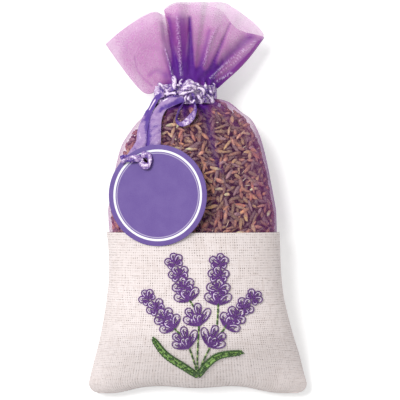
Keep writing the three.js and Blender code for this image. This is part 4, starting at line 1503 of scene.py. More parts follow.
TAIL_WIDTH = 5.2 * MM
# Painted crease shade and painted highlights of the tails, given as the frill's folds are
TAIL_FOLDS = (
    (((-14.6, 38.9), (-16.2, 36.6), (-17.6, 33.6), (-18.8, 30.8), (-18.9, 27.6), (-18.7, 24.6),
      (-18.7, 20.0)), 2.0, 1.9, 0, 0.56, 0),
    (((-16.2, 39.2), (-17.6, 36.4), (-19.0, 33.4), (-20.2, 31.2)), 1.0, 0.8, 0, 0.36, 0),
    (((-16.2, 37.0), (-17.4, 35.0), (-18.4, 33.2)), 0.5, 0.45, 0, 0, 1.1),
    (((-11.6, 37.3), (-13.0, 36.6)), 0.5, 0.4, 0, 0, 0.6),
    (((-5.6, 36.6), (-10.0, 35.2), (-13.2, 33.8), (-14.2, 32.6)), 2.0, 1.1, 0, 0.5, 0),
    (((-21.6, 27.6), (-21.8, 23.6), (-22.0, 19.6)), 1.1, 1.4, 0, 0, 0.12),
)
# Route of the loop under the knot, in millimetres: x, y and height above the organza
LOOP_ROUTE = (
    (-5.0, 36.6, 2.0), (-6.0, 34.9, 1.5), (-7.0, 33.0, 1.1), (-7.8, 31.0, 0.9), (-7.9, 29.2, 0.9),
    (-7.1, 27.9, 1.0), (-5.5, 27.7, 1.1), (-3.9, 28.7, 1.3), (-2.5, 30.3, 1.5), (-1.5, 32.2, 1.7),
    (-1.0, 34.2, 1.9), (-1.6, 36.4, 2.3),
)
# The loop's width in millimetres and its painted light and shade along it, from the left limb round to the right one
LOOP_WIDTHS = (1.3, 1.5, 1.6, 1.6, 1.8, 2.2, 2.7, 3.0, 3.0, 2.7, 2.2, 1.6)
LOOP_TONES = (0.34, 0.36, 0.3, 0.2, 0.1, 0.15, 0.5, 0.78, 0.55, 0.38, 0.3, 0.15)
# Crumpled folds of the tie: route over the neck in millimetres (x, y, lift), then width and the tone of its painted
# highlight
TIE_FOLDS = (
    (((-12.6, 40.9, 1.2), (-10.0, 41.0, 1.5), (-7.6, 41.2, 1.5)), 1.8, 0.6),
    (((-14.6, 41.4, 0.9), (-13.6, 40.0, 1.2), (-13.2, 38.6, 0.9)), 1.5, 0.35),
    (((-11.2, 42.8, 1.2), (-10.2, 42.0, 1.5), (-10.6, 40.8, 1.3)), 1.2, 0.5),
    (((-9.2, 46.0, 1.6), (-9.0, 43.8, 2.0), (-9.0, 42.0, 1.9), (-8.6, 40.9, 1.2)), 2.1, 1.05),
    (((-8.6, 42.3, 1.8), (-7.6, 42.5, 2.1), (-6.7, 42.7, 2.0)), 0.9, 1.0),
    (((-15.1, 43.2, 1.2), (-13.5, 42.5, 1.7), (-12.5, 41.3, 1.8), (-11.6, 39.9, 1.5)), 1.8, 1.05),
    (((-6.0, 44.6, 1.6), (-6.8, 43.8, 2.0), (-6.5, 42.8, 2.3), (-5.4, 42.0, 2.4)), 1.1, 1.0),
    (((-13.4, 39.1, 1.0), (-10.8, 39.3, 1.6), (-8.2, 39.4, 1.9)), 1.5, 1.1),
    (((-7.2, 39.1, 1.9), (-5.0, 39.5, 2.6), (-3.2, 40.0, 3.0), (-1.4, 40.7, 3.0)), 1.7, 1.1),
    (((-11.6, 38.2, 0.9), (-9.4, 38.2, 1.3), (-7.0, 38.4, 1.6)), 0.9, 0.2),
    (((-0.6, 41.0, 2.4), (0.8, 41.2, 2.8), (2.0, 40.3, 2.8), (1.9, 38.8, 2.2)), 1.4, 1.05),
    (((-4.3, 39.0, 2.6), (-4.7, 37.6, 2.4), (-5.0, 36.3, 1.6)), 1.0, 0.8),
    (((-3.1, 38.8, 2.7), (-3.6, 37.4, 2.5), (-3.3, 36.2, 1.9)), 1.1, 1.0),
    (((-3.0, 36.5, 1.7), (-2.0, 36.0, 2.0), (-1.3, 37.0, 2.0)), 1.2, 1.0),
    (((-2.4, 39.4, 2.6), (-1.5, 38.2, 2.4), (-1.1, 36.6, 1.7)), 1.3, 0.15),
    (((0.0, 38.8, 2.1), (0.4, 37.5, 2.3), (1.1, 36.3, 1.9), (1.6, 35.5, 1.2)), 1.9, 1.05),
    (((3.4, 38.9, 1.8), (4.3, 37.7, 1.8), (5.3, 36.5, 1.5), (6.2, 35.6, 0.9)), 1.7, 1.05),
    (((2.5, 43.3, 1.2), (2.8, 42.4, 1.8), (2.6, 41.6, 1.7)), 1.0, 1.0),
    (((4.0, 41.4, 1.3), (4.9, 40.0, 1.7), (5.5, 38.7, 1.3)), 1.1, 0.85),
    (((-1.0, 43.3, 1.8), (-0.2, 42.7, 2.4), (0.3, 42.0, 2.2)), 1.2, 1.0),
    (((5.8, 43.4, 0.9), (5.9, 42.4, 1.3), (5.4, 41.2, 1.1)), 1.4, 0.85),
    (((3.1, 41.0, 1.5), (3.4, 39.6, 1.7), (2.8, 38.2, 1.5)), 1.3, 0.2),
    (((2.4, 38.0, 1.6), (2.7, 36.8, 1.7), (2.9, 35.8, 1.1)), 1.2, 0.3),
    (((6.3, 40.0, 0.8), (6.5, 38.6, 1.1), (6.2, 37.2, 0.8)), 1.1, 0.5),
)
# Folds of the knot, given the same way
KNOT_FOLDS = (
    (((-5.6, 42.2, 2.8), (-4.2, 43.4, 3.6), (-2.2, 43.3, 3.6), (-1.0, 41.9, 3.0)), 2.1, 0.95),
    (((-6.0, 41.5, 3.0), (-4.2, 42.0, 4.0), (-2.4, 42.0, 4.0), (-0.8, 41.0, 3.0)), 2.0, 1.05),
    (((-6.8, 40.5, 2.4), (-5.0, 41.0, 3.4), (-3.2, 41.0, 3.7), (-1.2, 40.7, 3.0)), 1.7, 0.8),
)


BAND_COLUMNS = 24
BAND_ROWS = 240
BAND_FLAT = (7 * MM, 60 * MM)
BAND_RADIUS = 12 * MM
BAND_SPREAD = 9 * MM
BAND_WIDTH = 7.2 * MM
BAND_ARCH = 0.4 * MM
BAND_CREASES = 1.0 * MM
BAND_CREASE_SIZE = 2.2 * MM
BAND_WANDER = 0.7 * MM
FOLD_ROWS = 16
FOLD_TWIST = 0.7
LOOP_ROWS = 72
HITCH_ROWS = 40


def add_satin(mesh, satin, looks, body, *nodes):
    """Makes the mesh a thin, smoothly rounded piece of satin ribbon"""
    piece = add_piece(mesh, satin, body, "satin_ribbon", *nodes)
    thicken(piece, looks.ribbon_thickness, 0.0)
    refine(piece)


def fold_tone(bright):
    """Tone of a fold of the tie: a painted highlight along its middle and painted shade at its edges"""
    def paint(_, along, reach, crest):
        middle = 1 - EDGE_SHADE * np.abs(2 * reach) ** 1.5
        return bright * middle * (0.85 + 0.15 * np.sin(math.pi * along)) + CREASE_SHADE * (crest - 0.66)
    return paint


def tail_tone(points, _along, _reach, crest):
    """Tone of a ribbon tail, with the painted crease shade and painted highlights that lie over it"""
    shade, glint, _ = folded(points, TAIL_FOLDS)
    return TAIL_TONE + 0.3 * (crest - CREST_MEAN) - shade + glint


def tail_strip(route):
    """Centres, sides and widths of a ribbon tail along its route"""
    made = through(route, np.linspace(0, 1, TAIL_ROWS + 1))
    centres = made[:, :3] * MM
    tangents = np.gradient(centres, axis=0)
    sides = unit(np.stack([tangents[:, 1], -tangents[:, 0], np.zeros(len(made))], -1))
    sides[:, 2] = made[:, 4]
    return centres, unit(sides), made[:, 3] * MM


def build_tag_ribbons(context):
    looks = context.scene.sachet_ribbon
    material = satin_finish(looks, "Satin ribbon tail", 0.5, 0.16)
    for name, route, seed in (("tag_ribbon_right", RIGHT_TAIL, 2), ("tag_ribbon_left", LEFT_TAIL, 5)):
        centres, sides, widths = tail_strip(route)
        mesh = ribbon_mesh(
            name + "_satin", centres, sides, widths, tail_tone,
            cup=0.1, creases=0.3, crease_size=3.0, seed=seed, columns=30)
        tail = add_piece(mesh, material, "tag_ribbon", "satin_ribbon", name)
        thicken(tail, looks.ribbon_thickness, 0.0)
        long = float(travelled(centres)[-1])
        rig.cord(
            tail, exit=centres[0], length=long, diameter=TAIL_WIDTH, far_end="object", stiffness="limp",
            lay="hanging", path=centres)


def fold_strip(bag, points, width, twist):
    """A fold of ribbon over the neck, whose width lies square to the way it runs and then twists"""
    t = np.linspace(0, 1, FOLD_ROWS + 1)
    made = through(points, t) * MM
    centres, outward = bag.neck(made[:, 0], made[:, 1], made[:, 2])
    sides = unit(np.cross(np.gradient(centres, axis=0), outward))
    turn = (FOLD_TWIST * np.sin(2 * math.pi * t + twist))[:, None]
    swell = 0.6 + 0.4 * np.sin(math.pi * t) + 0.15 * np.sin(11 * t + twist)
    return centres, sides * np.cos(turn) + outward * np.sin(turn), width * MM * swell


def band_place(bag, across, along):
    """One round of ribbon drawn tight about the neck, pushed into creases"""
    turn = along * 2 * math.pi
    reach = across - 0.5
    flat = np.stack([np.cos(turn) * BAND_RADIUS, reach * BAND_SPREAD, np.sin(turn) * BAND_RADIUS], -1)
    crest = crumple(flat * np.array([1, 0.35, 1]), BAND_CREASE_SIZE, 9)
    lift = BAND_ARCH * (1 - 4 * reach**2) + BAND_CREASES * (crest - 0.5)
    y = bag.neck_y + reach * BAND_WIDTH + BAND_WANDER * ripple(flat, 4 * MM, 2)
    x = bag.neck_x + (bag.neck_half + lift) * np.cos(turn)
    z = bag.neck_z + (bag.neck_rise + lift) * np.sin(turn)
    # The tone is painted light: shade in the creases and highlights on the crests
    return np.stack([x, y, z], -1), {"tone": 0.24 + 0.62 * np.clip(crest, 0, 1) ** 2.4}


def tie_folds(bag, looks, satin, name, strips, *nodes):
    """Crumpled folds of the tie as one piece"""
    meshes = []
    for seed, (points, width, bright) in enumerate(strips, 3):
        meshes.append(ribbon_mesh(
            f"{name}_{seed}", *fold_strip(bag, points, width, seed), fold_tone(bright),
            cup=0.2, creases=0.45, crease_size=1.1, seed=seed))
    add_satin(join_meshes(name, meshes), satin, looks, "sachet", *nodes)


def loop_strip(bag, t):
    """Centres and sides of the loop, which stands on edge over the pouch and flares below"""
    made = through(LOOP_ROUTE, t) * MM
    height = bag.front_height(made[:, 0], np.minimum(made[:, 1], bag.neck_high_y), LINEN_DEPTH)
    centres = np.stack([made[:, 0], made[:, 1], height + made[:, 2]], -1)
    outward = unit((centres - centres.mean(axis=0)) * np.array([1, 1, 0]))
    flare = 0.5 + 1.3 * np.clip(-outward[:, 1] + outward[:, 0] * 0.8, 0, 1)
    return centres, unit(outward * flare[:, None] + np.array([0, 0, 1.0]))


def build_neck_tie(context):
    bag = Bag(context.scene.sachet_bag)
    looks = context.scene.sachet_ribbon
    satin = satin_finish(looks, "Satin ribbon tie", 0.4, 0.4)
    band = sheet_mesh(
        "neck_ribbon_band", BAND_COLUMNS, BAND_ROWS,
        lambda across, along: band_place(bag, across, along), BAND_FLAT)
    ribbon = add_piece(weld(band, 0.01 * MM), satin, "sachet", "satin_ribbon", "neck_ribbon")
    thicken(ribbon, looks.ribbon_thickness)
    tie_folds(bag, looks, satin, "tie_folds", TIE_FOLDS)
    tie_folds(bag, looks, satin, "knot_folds", KNOT_FOLDS, "ribbon_knot")
    t = np.linspace(0, 1, LOOP_ROWS + 1)
    widths, tones = (through(np.array(values)[:, None], t)[:, 0] for values in (LOOP_WIDTHS, LOOP_TONES))

    def loop_tone(_, along, reach, crest):
        # Painted light along the loop, with painted shade and highlight from its creases and painted shade towards its
        # edges
        return np.interp(along, t, tones) + 0.5 * (crest - 0.75) - 0.35 * np.abs(2 * reach) ** 3

    mesh = ribbon_mesh(
        "ribbon_loop_satin", *loop_strip(bag, t), widths * MM, loop_tone,
        cup=0.06, creases=0.3, crease_size=1.6, seed=4, columns=10)
    add_satin(mesh, satin, looks, "sachet", "ribbon_loop")


# Swing tag

TAG_TILT = math.radians(14)
TAG_SEGMENTS = 96
TAG_RINGS = 10
CARD_THICKNESS = 0.5 * MM
CARD_BEVEL = 0.1 * MM
SHARP_EDGE = 1.0
# Where the hole lies off the card's middle, which is also the axis that the tag swings about
HOLE_PLACE = (-4.5 * MM, 13.7 * MM, 0)
HOLE_RADIUS = 2 * MM
# Twisted strips of the hitch on the card: places in millimetres from its middle, then width, the tone of its painted
# highlight, and twist
HITCH_STRIPS = (
    (((-13.6, 12.7, 1.1), (-11.6, 13.3, 1.5), (-9.2, 14.2, 1.6), (-6.8, 13.4, 1.7), (-5.2, 13.4, 0.8)),
     2.5, 0.72, 0.5),
    (((-14.2, 14.0, 1.0), (-12.0, 14.7, 1.4), (-9.6, 13.2, 1.4), (-7.2, 14.6, 1.5), (-5.4, 14.8, 0.8)),
     2.0, 0.3, 0.5),
    (((-12.6, 12.6, 1.4), (-10.4, 13.0, 2.0), (-8.4, 13.5, 2.0), (-6.8, 12.6, 1.6)), 1.3, 0.15, 0.8),
)
BIGHT_STRIP = (
    ((-6.9, 13.8, 0.9), (-6.2, 12.4, 1.2), (-5.0, 11.2, 1.4), (-3.6, 11.0, 1.5), (-2.8, 12.2, 1.5),
     (-2.6, 13.8, 1.4), (-3.6, 15.2, 1.1), (-6.0, 15.2, 0.8)),
    2.7, 0.85, 0.25,
)
UPWARD = np.array([0, 0, 1.0])


def card_mesh(radius):
    """A round card with a punched hole, its edges softly rounded"""
    card = bmesh.new()
    bmesh.ops.create_circle(card, segments=TAG_SEGMENTS, radius=radius)
    hole = bmesh.ops.create_circle(card, segments=TAG_SEGMENTS, radius=HOLE_RADIUS)["verts"]
    bmesh.ops.translate(card, verts=hole, vec=HOLE_PLACE)
    rays = bmesh.ops.bridge_loops(card, edges=card.edges[:])["edges"]
    bmesh.ops.subdivide_edges(card, edges=rays, cuts=TAG_RINGS, use_grid_fill=False)
    bmesh.ops.recalc_face_normals(card, faces=card.faces)
    if card.faces[:][0].normal.z < 0:
        bmesh.ops.reverse_faces(card, faces=card.faces)
    bmesh.ops.translate(card, verts=card.verts, vec=(0, 0, CARD_THICKNESS / 2))
    everything = card.verts[:] + card.edges[:] + card.faces[:]
    bmesh.ops.solidify(card, geom=everything, thickness=CARD_THICKNESS)
    bmesh.ops.recalc_face_normals(card, faces=card.faces)
    rims = [e for e in card.edges if e.calc_face_angle(0) > SHARP_EDGE]
    bmesh.ops.bevel(card, geom=rims, offset=CARD_BEVEL, affect="EDGES", segments=2, profile=0.5, material=-1)
    mesh = finished(card, "tag_card_print")
    places = np.array([v.co[:] for v in mesh.vertices])
    store_uv(mesh, places[:, :2])
    store_value(mesh, "front", (places[:, 2] > 0).astype(float))
    return mesh


def hitch_mesh(points, width, bright, twist, seed):
    """A twisted strip of the hitch, in the card's own place"""
    t = np.linspace(0, 1, HITCH_ROWS + 1)
    centres = through(points, t) * MM
    across = unit(np.cross(np.gradient(centres, axis=0), UPWARD))
    turn = (twist * np.sin(7 * t + seed))[:, None]
    sides = across * np.cos(turn) + UPWARD * np.sin(turn)
    widths = width * MM * (0.8 + 0.2 * np.sin(9 * t + seed))
    return ribbon_mesh(
        f"hitch_{seed}", centres, sides, widths, fold_tone(bright),
        cup=0.15, creases=0.5, crease_size=1.2, seed=seed)


def build_tag(context):
    ribbon = context.scene.sachet_ribbon
    low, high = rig.box("tag_card")
    to_world = Matrix.Translation((low + high) / 2) @ Matrix.Rotation(-TAG_TILT, 4, "Y")
    card = card_mesh((high.y - low.y) / 2)
    card.transform(to_world)
    add_piece(card, card_finish(context.scene.sachet_tag), "tag", "tag_card", "tag_card")
    satin = satin_finish(ribbon, "Satin ribbon hitch", 0.35, 0.36)
    strips = (*HITCH_STRIPS, BIGHT_STRIP)
    *meshes, bight = [hitch_mesh(*strip, seed) for seed, strip in enumerate(strips, 21)]
    bight.name = "tag_hitch_bight_satin"
    for mesh, name in ((join_meshes("tag_hitch_satin", meshes), "tag_hitch"), (bight, "tag_hitch_bight")):
        mesh.transform(to_world)
        add_satin(mesh, satin, ribbon, "tag", name)


# Embroidery

# Flower heads as shares of the hem's width and the pocket's height: base, tip, width, tiers and hand
HEADS = {
    "flower_head_left_low": ((-0.136, 0.402), (-0.32, 0.622), 0.135, 4, 1),
    "flower_head_left_high": ((-0.052, 0.57), (-0.152, 0.85), 0.142, 4, 1),
    "flower_head_right_high": ((0.113, 0.548), (0.120, 0.85), 0.148, 4, 1),
    "flower_head_right_low": ((0.156, 0.412), (0.350, 0.622), 0.135, 4, 1),
    "flower_head_centre": ((0.006, 0.418), (0.004, 0.553), 0.16, 1, 1),
    "flower_head_bottom_left": ((-0.054, 0.282), (-0.078, 0.412), 0.142, 1, 1),
    "flower_head_bottom_right": ((0.060, 0.292), (0.096, 0.42), 0.15, 1, -1),
}
# Middle lines of the leaves and of the stems, given the same way
LEAVES = {
    "leaf_left": ((-0.004, 0.104), (-0.07, 0.155), (-0.185, 0.24), (-0.262, 0.347)),
    "leaf_right": ((0.004, 0.104), (0.05, 0.175), (0.125, 0.235), (0.262, 0.254)),
}
STEMS = (
    ((0.0, 0.108), (-0.004, 0.215), (0.006, 0.43)),
    ((-0.004, 0.108), (-0.022, 0.19), (-0.05, 0.285)),
    ((0.006, 0.108), (0.022, 0.18), (0.07, 0.29)),
    ((-0.052, 0.58), (-0.035, 0.55), (-0.022, 0.53)),
    ((0.116, 0.56), (0.113, 0.49), (0.108, 0.42)),
    ((0.164, 0.43), (0.15, 0.40), (0.13, 0.375)),
    ((-0.14, 0.41), (-0.12, 0.385), (-0.1, 0.37)),
)
# Petals of a small head: turn off its axis, then start, end and width as shares of its length
SMALL_HEAD = (
    (-1.1, 0.05, 0.78, 0.38), (-0.62, 0.42, 0.95, 0.38), (-0.06, 0.44, 1.02, 0.36), (0.56, 0.05, 0.90, 0.38),
    (-0.42, 0.0, 0.58, 0.30), (0.06, 0.0, 0.54, 0.28), (-0.85, 0.0, 0.5, 0.26),
)
# How far above the bottom of the pocket the bouquet's shares start
MOTIF_RISE = 1.2 * MM
LEAF_WIDTH = 2.45 * MM
STITCH = 1.5 * MM
PETAL_POINTS = 18
SLANT_COUNT = 46
# Long straight stitches of a petal: how far off its middle, and where each starts and ends
PETAL_STITCHES = ((0.1, 0.05, 0.75), (-0.12, 0.0, 0.5), (0.3, 0.2, 0.6), (-0.32, 0.25, 0.7))
# Heights along single stitches, in millimetres; the rim's stitches also have shares of the half width
SLANT_LEVELS = (0.15, 0.38, 0.45, 0.38, 0.05)
RIM_LEVELS = (0.3, 0.5, 0.3)
RIM_REACHES = (0.72, 1.0, 0.9)
FLECK_LEVELS = (0.5, 0.7, 0.5)
FLECK_SHARE = 0.4
FLECK_REACH = 0.3 * MM
STEM_LEVELS = (0.2, 0.4, 0.45, 0.4, 0.2)
# Names and glints of the five threads
THREADS = {
    "violet_thread": ("Violet thread", (0.26, 0.06, 0.38, 1)),
    "lilac_thread": ("Lilac thread", (0.90, 0.84, 0.93, 1)),
    "green_thread": ("Green thread", (0.045, 0.14, 0.012, 1)),
    "bright_thread": ("Bright green thread", (0.44, 0.66, 0.26, 1)),
    "pale_thread": ("Pale green thread", (0.5, 0.65, 0.25, 1)),
}
BASE_STITCH = 0.8 * MM
DASH_PITCH = 2.1 * MM


class Pocket:
    """Places on the pocket's front as shares of the hem and of the pocket's height"""

    def __init__(self, context):
        self.bag = Bag(context.scene.sachet_bag)
        low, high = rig.box("linen_front")
        self.width = context.scene.sachet_bag.hem_width
        self.low_y = low.y + MOTIF_RISE
        self.height = high.y - low.y

    def place(self, pair):
        return np.array([pair[0] * self.width, self.low_y + pair[1] * self.height])

    def stitch(self, flat, level, beads=True, closed=False):
        """A line of thread along flat places, pinched at each needle hole"""
        points = self.bag.drape(flat[:, 0], flat[:, 1], np.broadcast_to(level, len(flat)))
        if beads:
            swells = 0.72 + 0.28 * np.abs(np.sin(math.pi * travelled(points) / STITCH))
        else:
            swells = np.ones(len(flat))
        return points, swells, closed

    def dash(self, flat, levels):
        """A single stitch over flat places, its heights in millimetres"""
        return self.stitch(flat, np.array(levels) * MM, beads=False)


def petal(root, way, long, wide, start=0.0):
    """A rounded petal's outline from its root: narrow there and full towards its end"""
    t = np.linspace(0, 2 * math.pi, PETAL_POINTS, endpoint=False)
    forward = start + (long - start) * (1 - np.cos(t)) / 2
    sideways = wide / 2 * np.sin(t) * (0.45 + 0.55 * np.sin(t / 2) ** 2) * 1.15
    across = np.array([-way[1], way[0]])
    return root + forward[:, None] * way + sideways[:, None] * across


def head_petals(base, tip, width, tiers, hand):
    """Root, direction, start, length and width of each petal of a flower head"""
    axis = tip - base
    long = np.linalg.norm(axis)
    way = axis / long
    across = np.array([way[1], -way[0]]) * hand

    def turned(angle):
        return way * math.cos(angle) + across * math.sin(angle)

    if tiers == 1:
        for angle, start, end, wide in SMALL_HEAD:
            yield base, turned(angle), long * start, long * end, long * wide
        return
    for tier in range(tiers):
        up = tier / (tiers - 1)
        size = width * mix(0.52, 0.42, up)
        root = base + axis * mix(0.0, 0.80, up)
        for side in (-1, 1):
            if tier == 0:
                yield root, turned(side * 0.92), 0, size * 1.2, size * 0.72
                yield root, turned(side * 0.35), 0, size * 0.9, size * 0.5
            else:
                yield root, turned(side * mix(1.2, 0.95, up)), 0, size, size * 0.78
                yield root + across * side * size * 0.12, turned(side * 1.9), 0, size * 0.6, size * 0.6
        yield root + way * size * 0.1, turned((-0.25, 0.2)[tier % 2]), 0, size * 0.92, size * 0.74


def stitched_head(pocket, name, base, tip, width, tiers, hand, thread):
    """Violet petals, outlined and filled with straight stitches, and the pale stitches that light them"""
    base, tip = pocket.place(base), pocket.place(tip)
    violet, pale = [], []
    petals = head_petals(base, tip, width * pocket.width, tiers, hand)
    for count, (root, way, start, end, wide) in enumerate(petals):
        level = (0.22 + 0.06 * (count % 3)) * MM
        long = end - start
        heart = root + way * start
        across = np.array([-way[1], way[0]])
        violet.append(pocket.stitch(petal(root, way, end, wide, start), level + 0.16 * MM, closed=True))
        violet.append(pocket.stitch(petal(heart, way, long * 0.62, wide * 0.45), level, closed=True))
        for off, *reach in PETAL_STITCHES:
            ends = [heart + way * long * s + across * wide * off for s in reach]
            line = np.array([mix(*ends, s) for s in (0, 0.33, 0.67, 1)])
            violet.append(pocket.stitch(line, level + 0.12 * MM))
        inner = petal(heart + way * long * 0.12, way, long * 0.74, wide * 0.62)
        lit = inner[3:12] if count % 3 else inner[6:15]
        levels = np.sin(np.linspace(0.2, math.pi - 0.2, len(lit))) * 0.18 * MM + level
        pale.append(pocket.stitch(lit, levels, beads=False))
    return thread_mesh(name + "_stitches", violet, thread), thread_mesh(name + "_lights", pale, thread * 0.9)


def stitched_leaf(pocket, name, places, thread):
    """Slanted satin stitches of a leaf, and the dark stitches along its rim"""
    axis = np.array([pocket.place(p) for p in places])
    t = np.linspace(0, 1, SLANT_COUNT)
    middle = through(axis, t)
    ways = unit(np.gradient(middle, axis=0))
    sides = np.stack([ways[:, 1], -ways[:, 0]], -1)
    half = LEAF_WIDTH / 2 * (0.5 + 0.5 * np.sin(math.pi * np.clip(t * 0.94 + 0.05, 0, 1)) ** 0.6)
    half *= np.clip((1 - t) / 0.06, 0.35, 1)
    chance = random.Random(len(name))
    satin, edges = [], []
    for i in range(len(t) - 2):
        for hand in (-1, 1):
            start = middle[i] + sides[i] * hand * 0.1 * MM - ways[i] * 0.3 * MM
            end = middle[i] + sides[i] * hand * half[i] * chance.uniform(0.82, 0.95) + ways[i] * 0.5 * MM
            line = np.array([mix(start, end, s) for s in (0, 0.25, 0.5, 0.75, 1)])
            satin.append(pocket.dash(line, SLANT_LEVELS))
            if i % 2 == (hand > 0):
                reach = hand * half[i:i + 3] * np.array(RIM_REACHES)
                rim = middle[i:i + 3] + sides[i:i + 3] * reach[:, None]
                edges.append(pocket.dash(rim, RIM_LEVELS))
        for hand in (-1, 1):
            if chance.random() > FLECK_SHARE:
                continue
            spot = middle[i] + sides[i] * hand * chance.uniform(0, 0.6) * half[i]
            turn = chance.uniform(0, math.pi)
            fleck = np.array([math.cos(turn), math.sin(turn)]) * FLECK_REACH
            edges.append(pocket.dash(np.array([spot - fleck, spot, spot + fleck]), FLECK_LEVELS))
    return thread_mesh(name + "_stitches", satin, thread), thread_mesh(name + "_rim", edges, thread * 1.45)


def stem_stitches(pocket, thread):
    """Each stem has a pale base thread and dark running stitches over it"""
    pale, dark = [], []
    for places in STEMS:
        axis = np.array([pocket.place(p) for p in places])
        long = travelled(axis)[-1]
        line = through(axis, np.linspace(0, 1, max(6, int(long / BASE_STITCH))))
        pale.append(pocket.stitch(line, 0.2 * MM))
        stitches = max(2, int(long / DASH_PITCH))
        for i in range(stitches):
            part = through(axis, np.linspace((i + 0.15) / stitches, (i + 0.75) / stitches, 5))
            dark.append(pocket.dash(part, STEM_LEVELS))
    return thread_mesh("stems_base", pale, thread * 1.5), thread_mesh("stems_dashes", dark, thread * 1.55)


def build_embroidery(context):
    looks = context.scene.sachet_thread
    pocket = Pocket(context)
    violet, lilac, green, bright, pale = (
        thread_finish(name, getattr(looks, key), light) for key, (name, light) in THREADS.items())
    for name, form in HEADS.items():
        petals, lights = stitched_head(pocket, name, *form, looks.thread_width)
        add_piece(petals, violet, "sachet", "violet_thread", name)
        add_piece(lights, lilac, "sachet", "violet_thread")
    for name, places in LEAVES.items():
        blade, rim = stitched_leaf(pocket, name, places, looks.thread_width)
        add_piece(blade, bright, "sachet", "green_thread", name)
        add_piece(rim, green, "sachet", "green_thread")
    base, dashes = stem_stitches(pocket, looks.thread_width)
    add_piece(base, pale, "sachet", "green_thread")
    add_piece(dashes, green, "sachet", "green_thread")


# Stage

SUN_WAY = (0.52, -0.42, -1.0)
SUN_ANGLE = math.radians(24)
FLOOR_GLOW = 0.38
FLOOR_DROP = 0.2 * MM
FLOOR_SIZE = 3.0
FLOOR_CELLS = 8
FLOOR_COLOURS = ((0.80, 0.80, 0.80, 1), (0.82, 0.82, 0.82, 1))
WHITE = (1, 1, 1, 1)
CLIP_START = 0.01


def floor_material():
    """White table that keeps the shadow and shows white to the camera"""
    finish = Finish("White table")
    tree = finish.tree
    path = tree.node("ShaderNodeLightPath")
    seen = tree.math("MAXIMUM", path.outputs["Is Camera Ray"], path.outputs["Is Glossy Ray"])
    seen = tree.math("MAXIMUM", seen, path.outputs["Is Transmission Ray"])
    white = tree.blend(tree.noise(tree.object_place(), 40.0), *FLOOR_COLOURS)
    glow = tree.math("MULTIPLY", seen, FLOOR_GLOW)
    finish.set(
        base_color=white, roughness=0.9, specular_ior_level=0.1, emission_color=WHITE, emission_strength=glow)
    return finish.material


def build_stage(context):
    scene = context.scene
    settings = scene.sachet_stage
    data = bpy.data.cameras.new("camera")
    data.lens = data.sensor_width * (settings.camera_distance - settings.view_height) / settings.view_width
    camera = bpy.data.objects.new("camera", data)
    camera.location = (settings.view_x, settings.view_y, settings.camera_distance)
    data.clip_start = CLIP_START
    scene.collection.objects.link(camera)
    scene.camera = camera
    sun_data = bpy.data.lights.new("sun", "SUN")
    sun_data.energy = settings.sun_strength
    sun_data.angle = SUN_ANGLE
    sun = bpy.data.objects.new("sun", sun_data)
    sun.rotation_mode = "QUATERNION"
    sun.rotation_quaternion = Vector(SUN_WAY).to_track_quat("-Z", "Y")
    scene.collection.objects.link(sun)
    world = bpy.data.worlds.new("pale sky")
    world.use_nodes = True
    sky = world.node_tree.nodes["Background"].inputs
    sky["Color"].default_value = WHITE
    sky["Strength"].default_value = settings.sky_strength
    scene.world = world
    table = bmesh.new()
    bmesh.ops.create_grid(table, x_segments=FLOOR_CELLS, y_segments=FLOOR_CELLS, size=FLOOR_SIZE)
    mesh = finished(table, "table")
    mesh.transform(Matrix.Translation((0, 0, -FLOOR_DROP)))
    mesh.materials.append(floor_material())
    floor = bpy.data.objects.new("table", mesh)
    scene.collection.objects.link(floor)
    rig.stage(floor)
    scene.view_settings.view_transform = "Standard"


# Operators

class SachetOperator:
    """What the steps share: each runs its own build function"""
    bl_options = {"REGISTER", "UNDO"}

    def execute(self, context):
        self.build(context)
        return {"FINISHED"}


class SACHET_OT_stage(SachetOperator, Operator):
    """Adds the camera, the light and the table"""
    bl_idname = "sachet.stage"
    bl_label = "Stage"
    build = staticmethod(build_stage)


class SACHET_OT_tag_ribbons(SachetOperator, Operator):
    """Adds the two ribbon tails that hold the tag"""
    bl_idname = "sachet.tag_ribbons"
    bl_label = "Tag Ribbons"
    build = staticmethod(build_tag_ribbons)


class SACHET_OT_linen_pocket(SachetOperator, Operator):
    """Adds the two linen panels of the pocket"""
    bl_idname = "sachet.linen_pocket"
    bl_label = "Linen Pocket"
    build = staticmethod(build_linen)


class SACHET_OT_organza_pouch(SachetOperator, Operator):
    """Adds the two organza panels with their frill"""
    bl_idname = "sachet.organza_pouch"
    bl_label = "Organza Pouch"
    build = staticmethod(build_organza)


class SACHET_OT_lavender_filling(SachetOperator, Operator):
    """Adds the dried lavender"""
    bl_idname = "sachet.lavender_filling"
    bl_label = "Lavender Filling"
    build = staticmethod(build_filling)


class SACHET_OT_neck_tie(SachetOperator, Operator):
    """Adds the crumpled ribbon that ties the neck, its knot and its loop"""
    bl_idname = "sachet.neck_tie"
    bl_label = "Neck Tie"
    build = staticmethod(build_neck_tie)


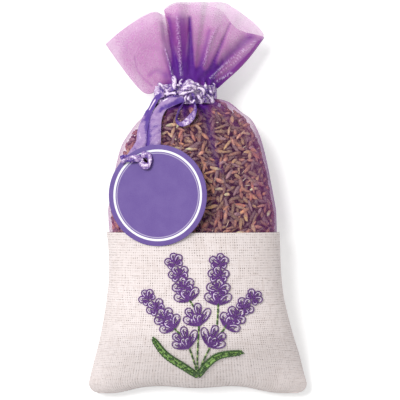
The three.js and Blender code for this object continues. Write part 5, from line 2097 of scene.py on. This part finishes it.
class SACHET_OT_swing_tag(SachetOperator, Operator):
    """Adds the round card tag and the hitch that holds it"""
    bl_idname = "sachet.swing_tag"
    bl_label = "Swing Tag"
    build = staticmethod(build_tag)


class SACHET_OT_embroidery(SachetOperator, Operator):
    """Adds the stitched lavender bouquet"""
    bl_idname = "sachet.embroidery"
    bl_label = "Embroidery"
    build = staticmethod(build_embroidery)


OPERATORS = (
    SACHET_OT_stage,
    SACHET_OT_tag_ribbons,
    SACHET_OT_linen_pocket,
    SACHET_OT_organza_pouch,
    SACHET_OT_lavender_filling,
    SACHET_OT_neck_tie,
    SACHET_OT_swing_tag,
    SACHET_OT_embroidery,
)


class SACHET_PT_sidebar(Panel):
    """Sizes, colours and steps of the sachet"""
    bl_label = "Lavender Sachet"
    bl_idname = "SACHET_PT_sidebar"
    bl_space_type = "VIEW_3D"
    bl_region_type = "UI"
    bl_category = "Sachet"

    def draw(self, context):
        for key, group in GROUPS.items():
            box = self.layout.box()
            box.label(text=group.__doc__)
            for name in group.__annotations__:
                box.prop(getattr(context.scene, key), name)
        for step in OPERATORS:
            self.layout.operator(step.bl_idname)


def register():
    for group in (*GROUPS.values(), *OPERATORS, SACHET_PT_sidebar):
        bpy.utils.register_class(group)
    for key, group in GROUPS.items():
        setattr(bpy.types.Scene, key, PointerProperty(type=group))


def unregister():
    for key in GROUPS:
        delattr(bpy.types.Scene, key)
    for group in (SACHET_PT_sidebar, *reversed(OPERATORS), *reversed(GROUPS.values())):
        bpy.utils.unregister_class(group)


def write_sizes():
    boxes = {"cad": CAD_BOX, "visual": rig.bounds()}
    sizes = {key: [list(low), list(high)] for key, (low, high) in boxes.items()}
    with open(SIZE_FILE, "w") as file:
        json.dump(sizes, file)


def main():
    register()
    bpy.ops.sachet.stage()
    bpy.ops.sachet.tag_ribbons()
    bpy.ops.sachet.linen_pocket()
    bpy.ops.sachet.organza_pouch()
    bpy.ops.sachet.lavender_filling()
    bpy.ops.sachet.neck_tie()
    bpy.ops.sachet.swing_tag()
    bpy.ops.sachet.embroidery()
    write_sizes()


if __name__ == "__main__":
    main()
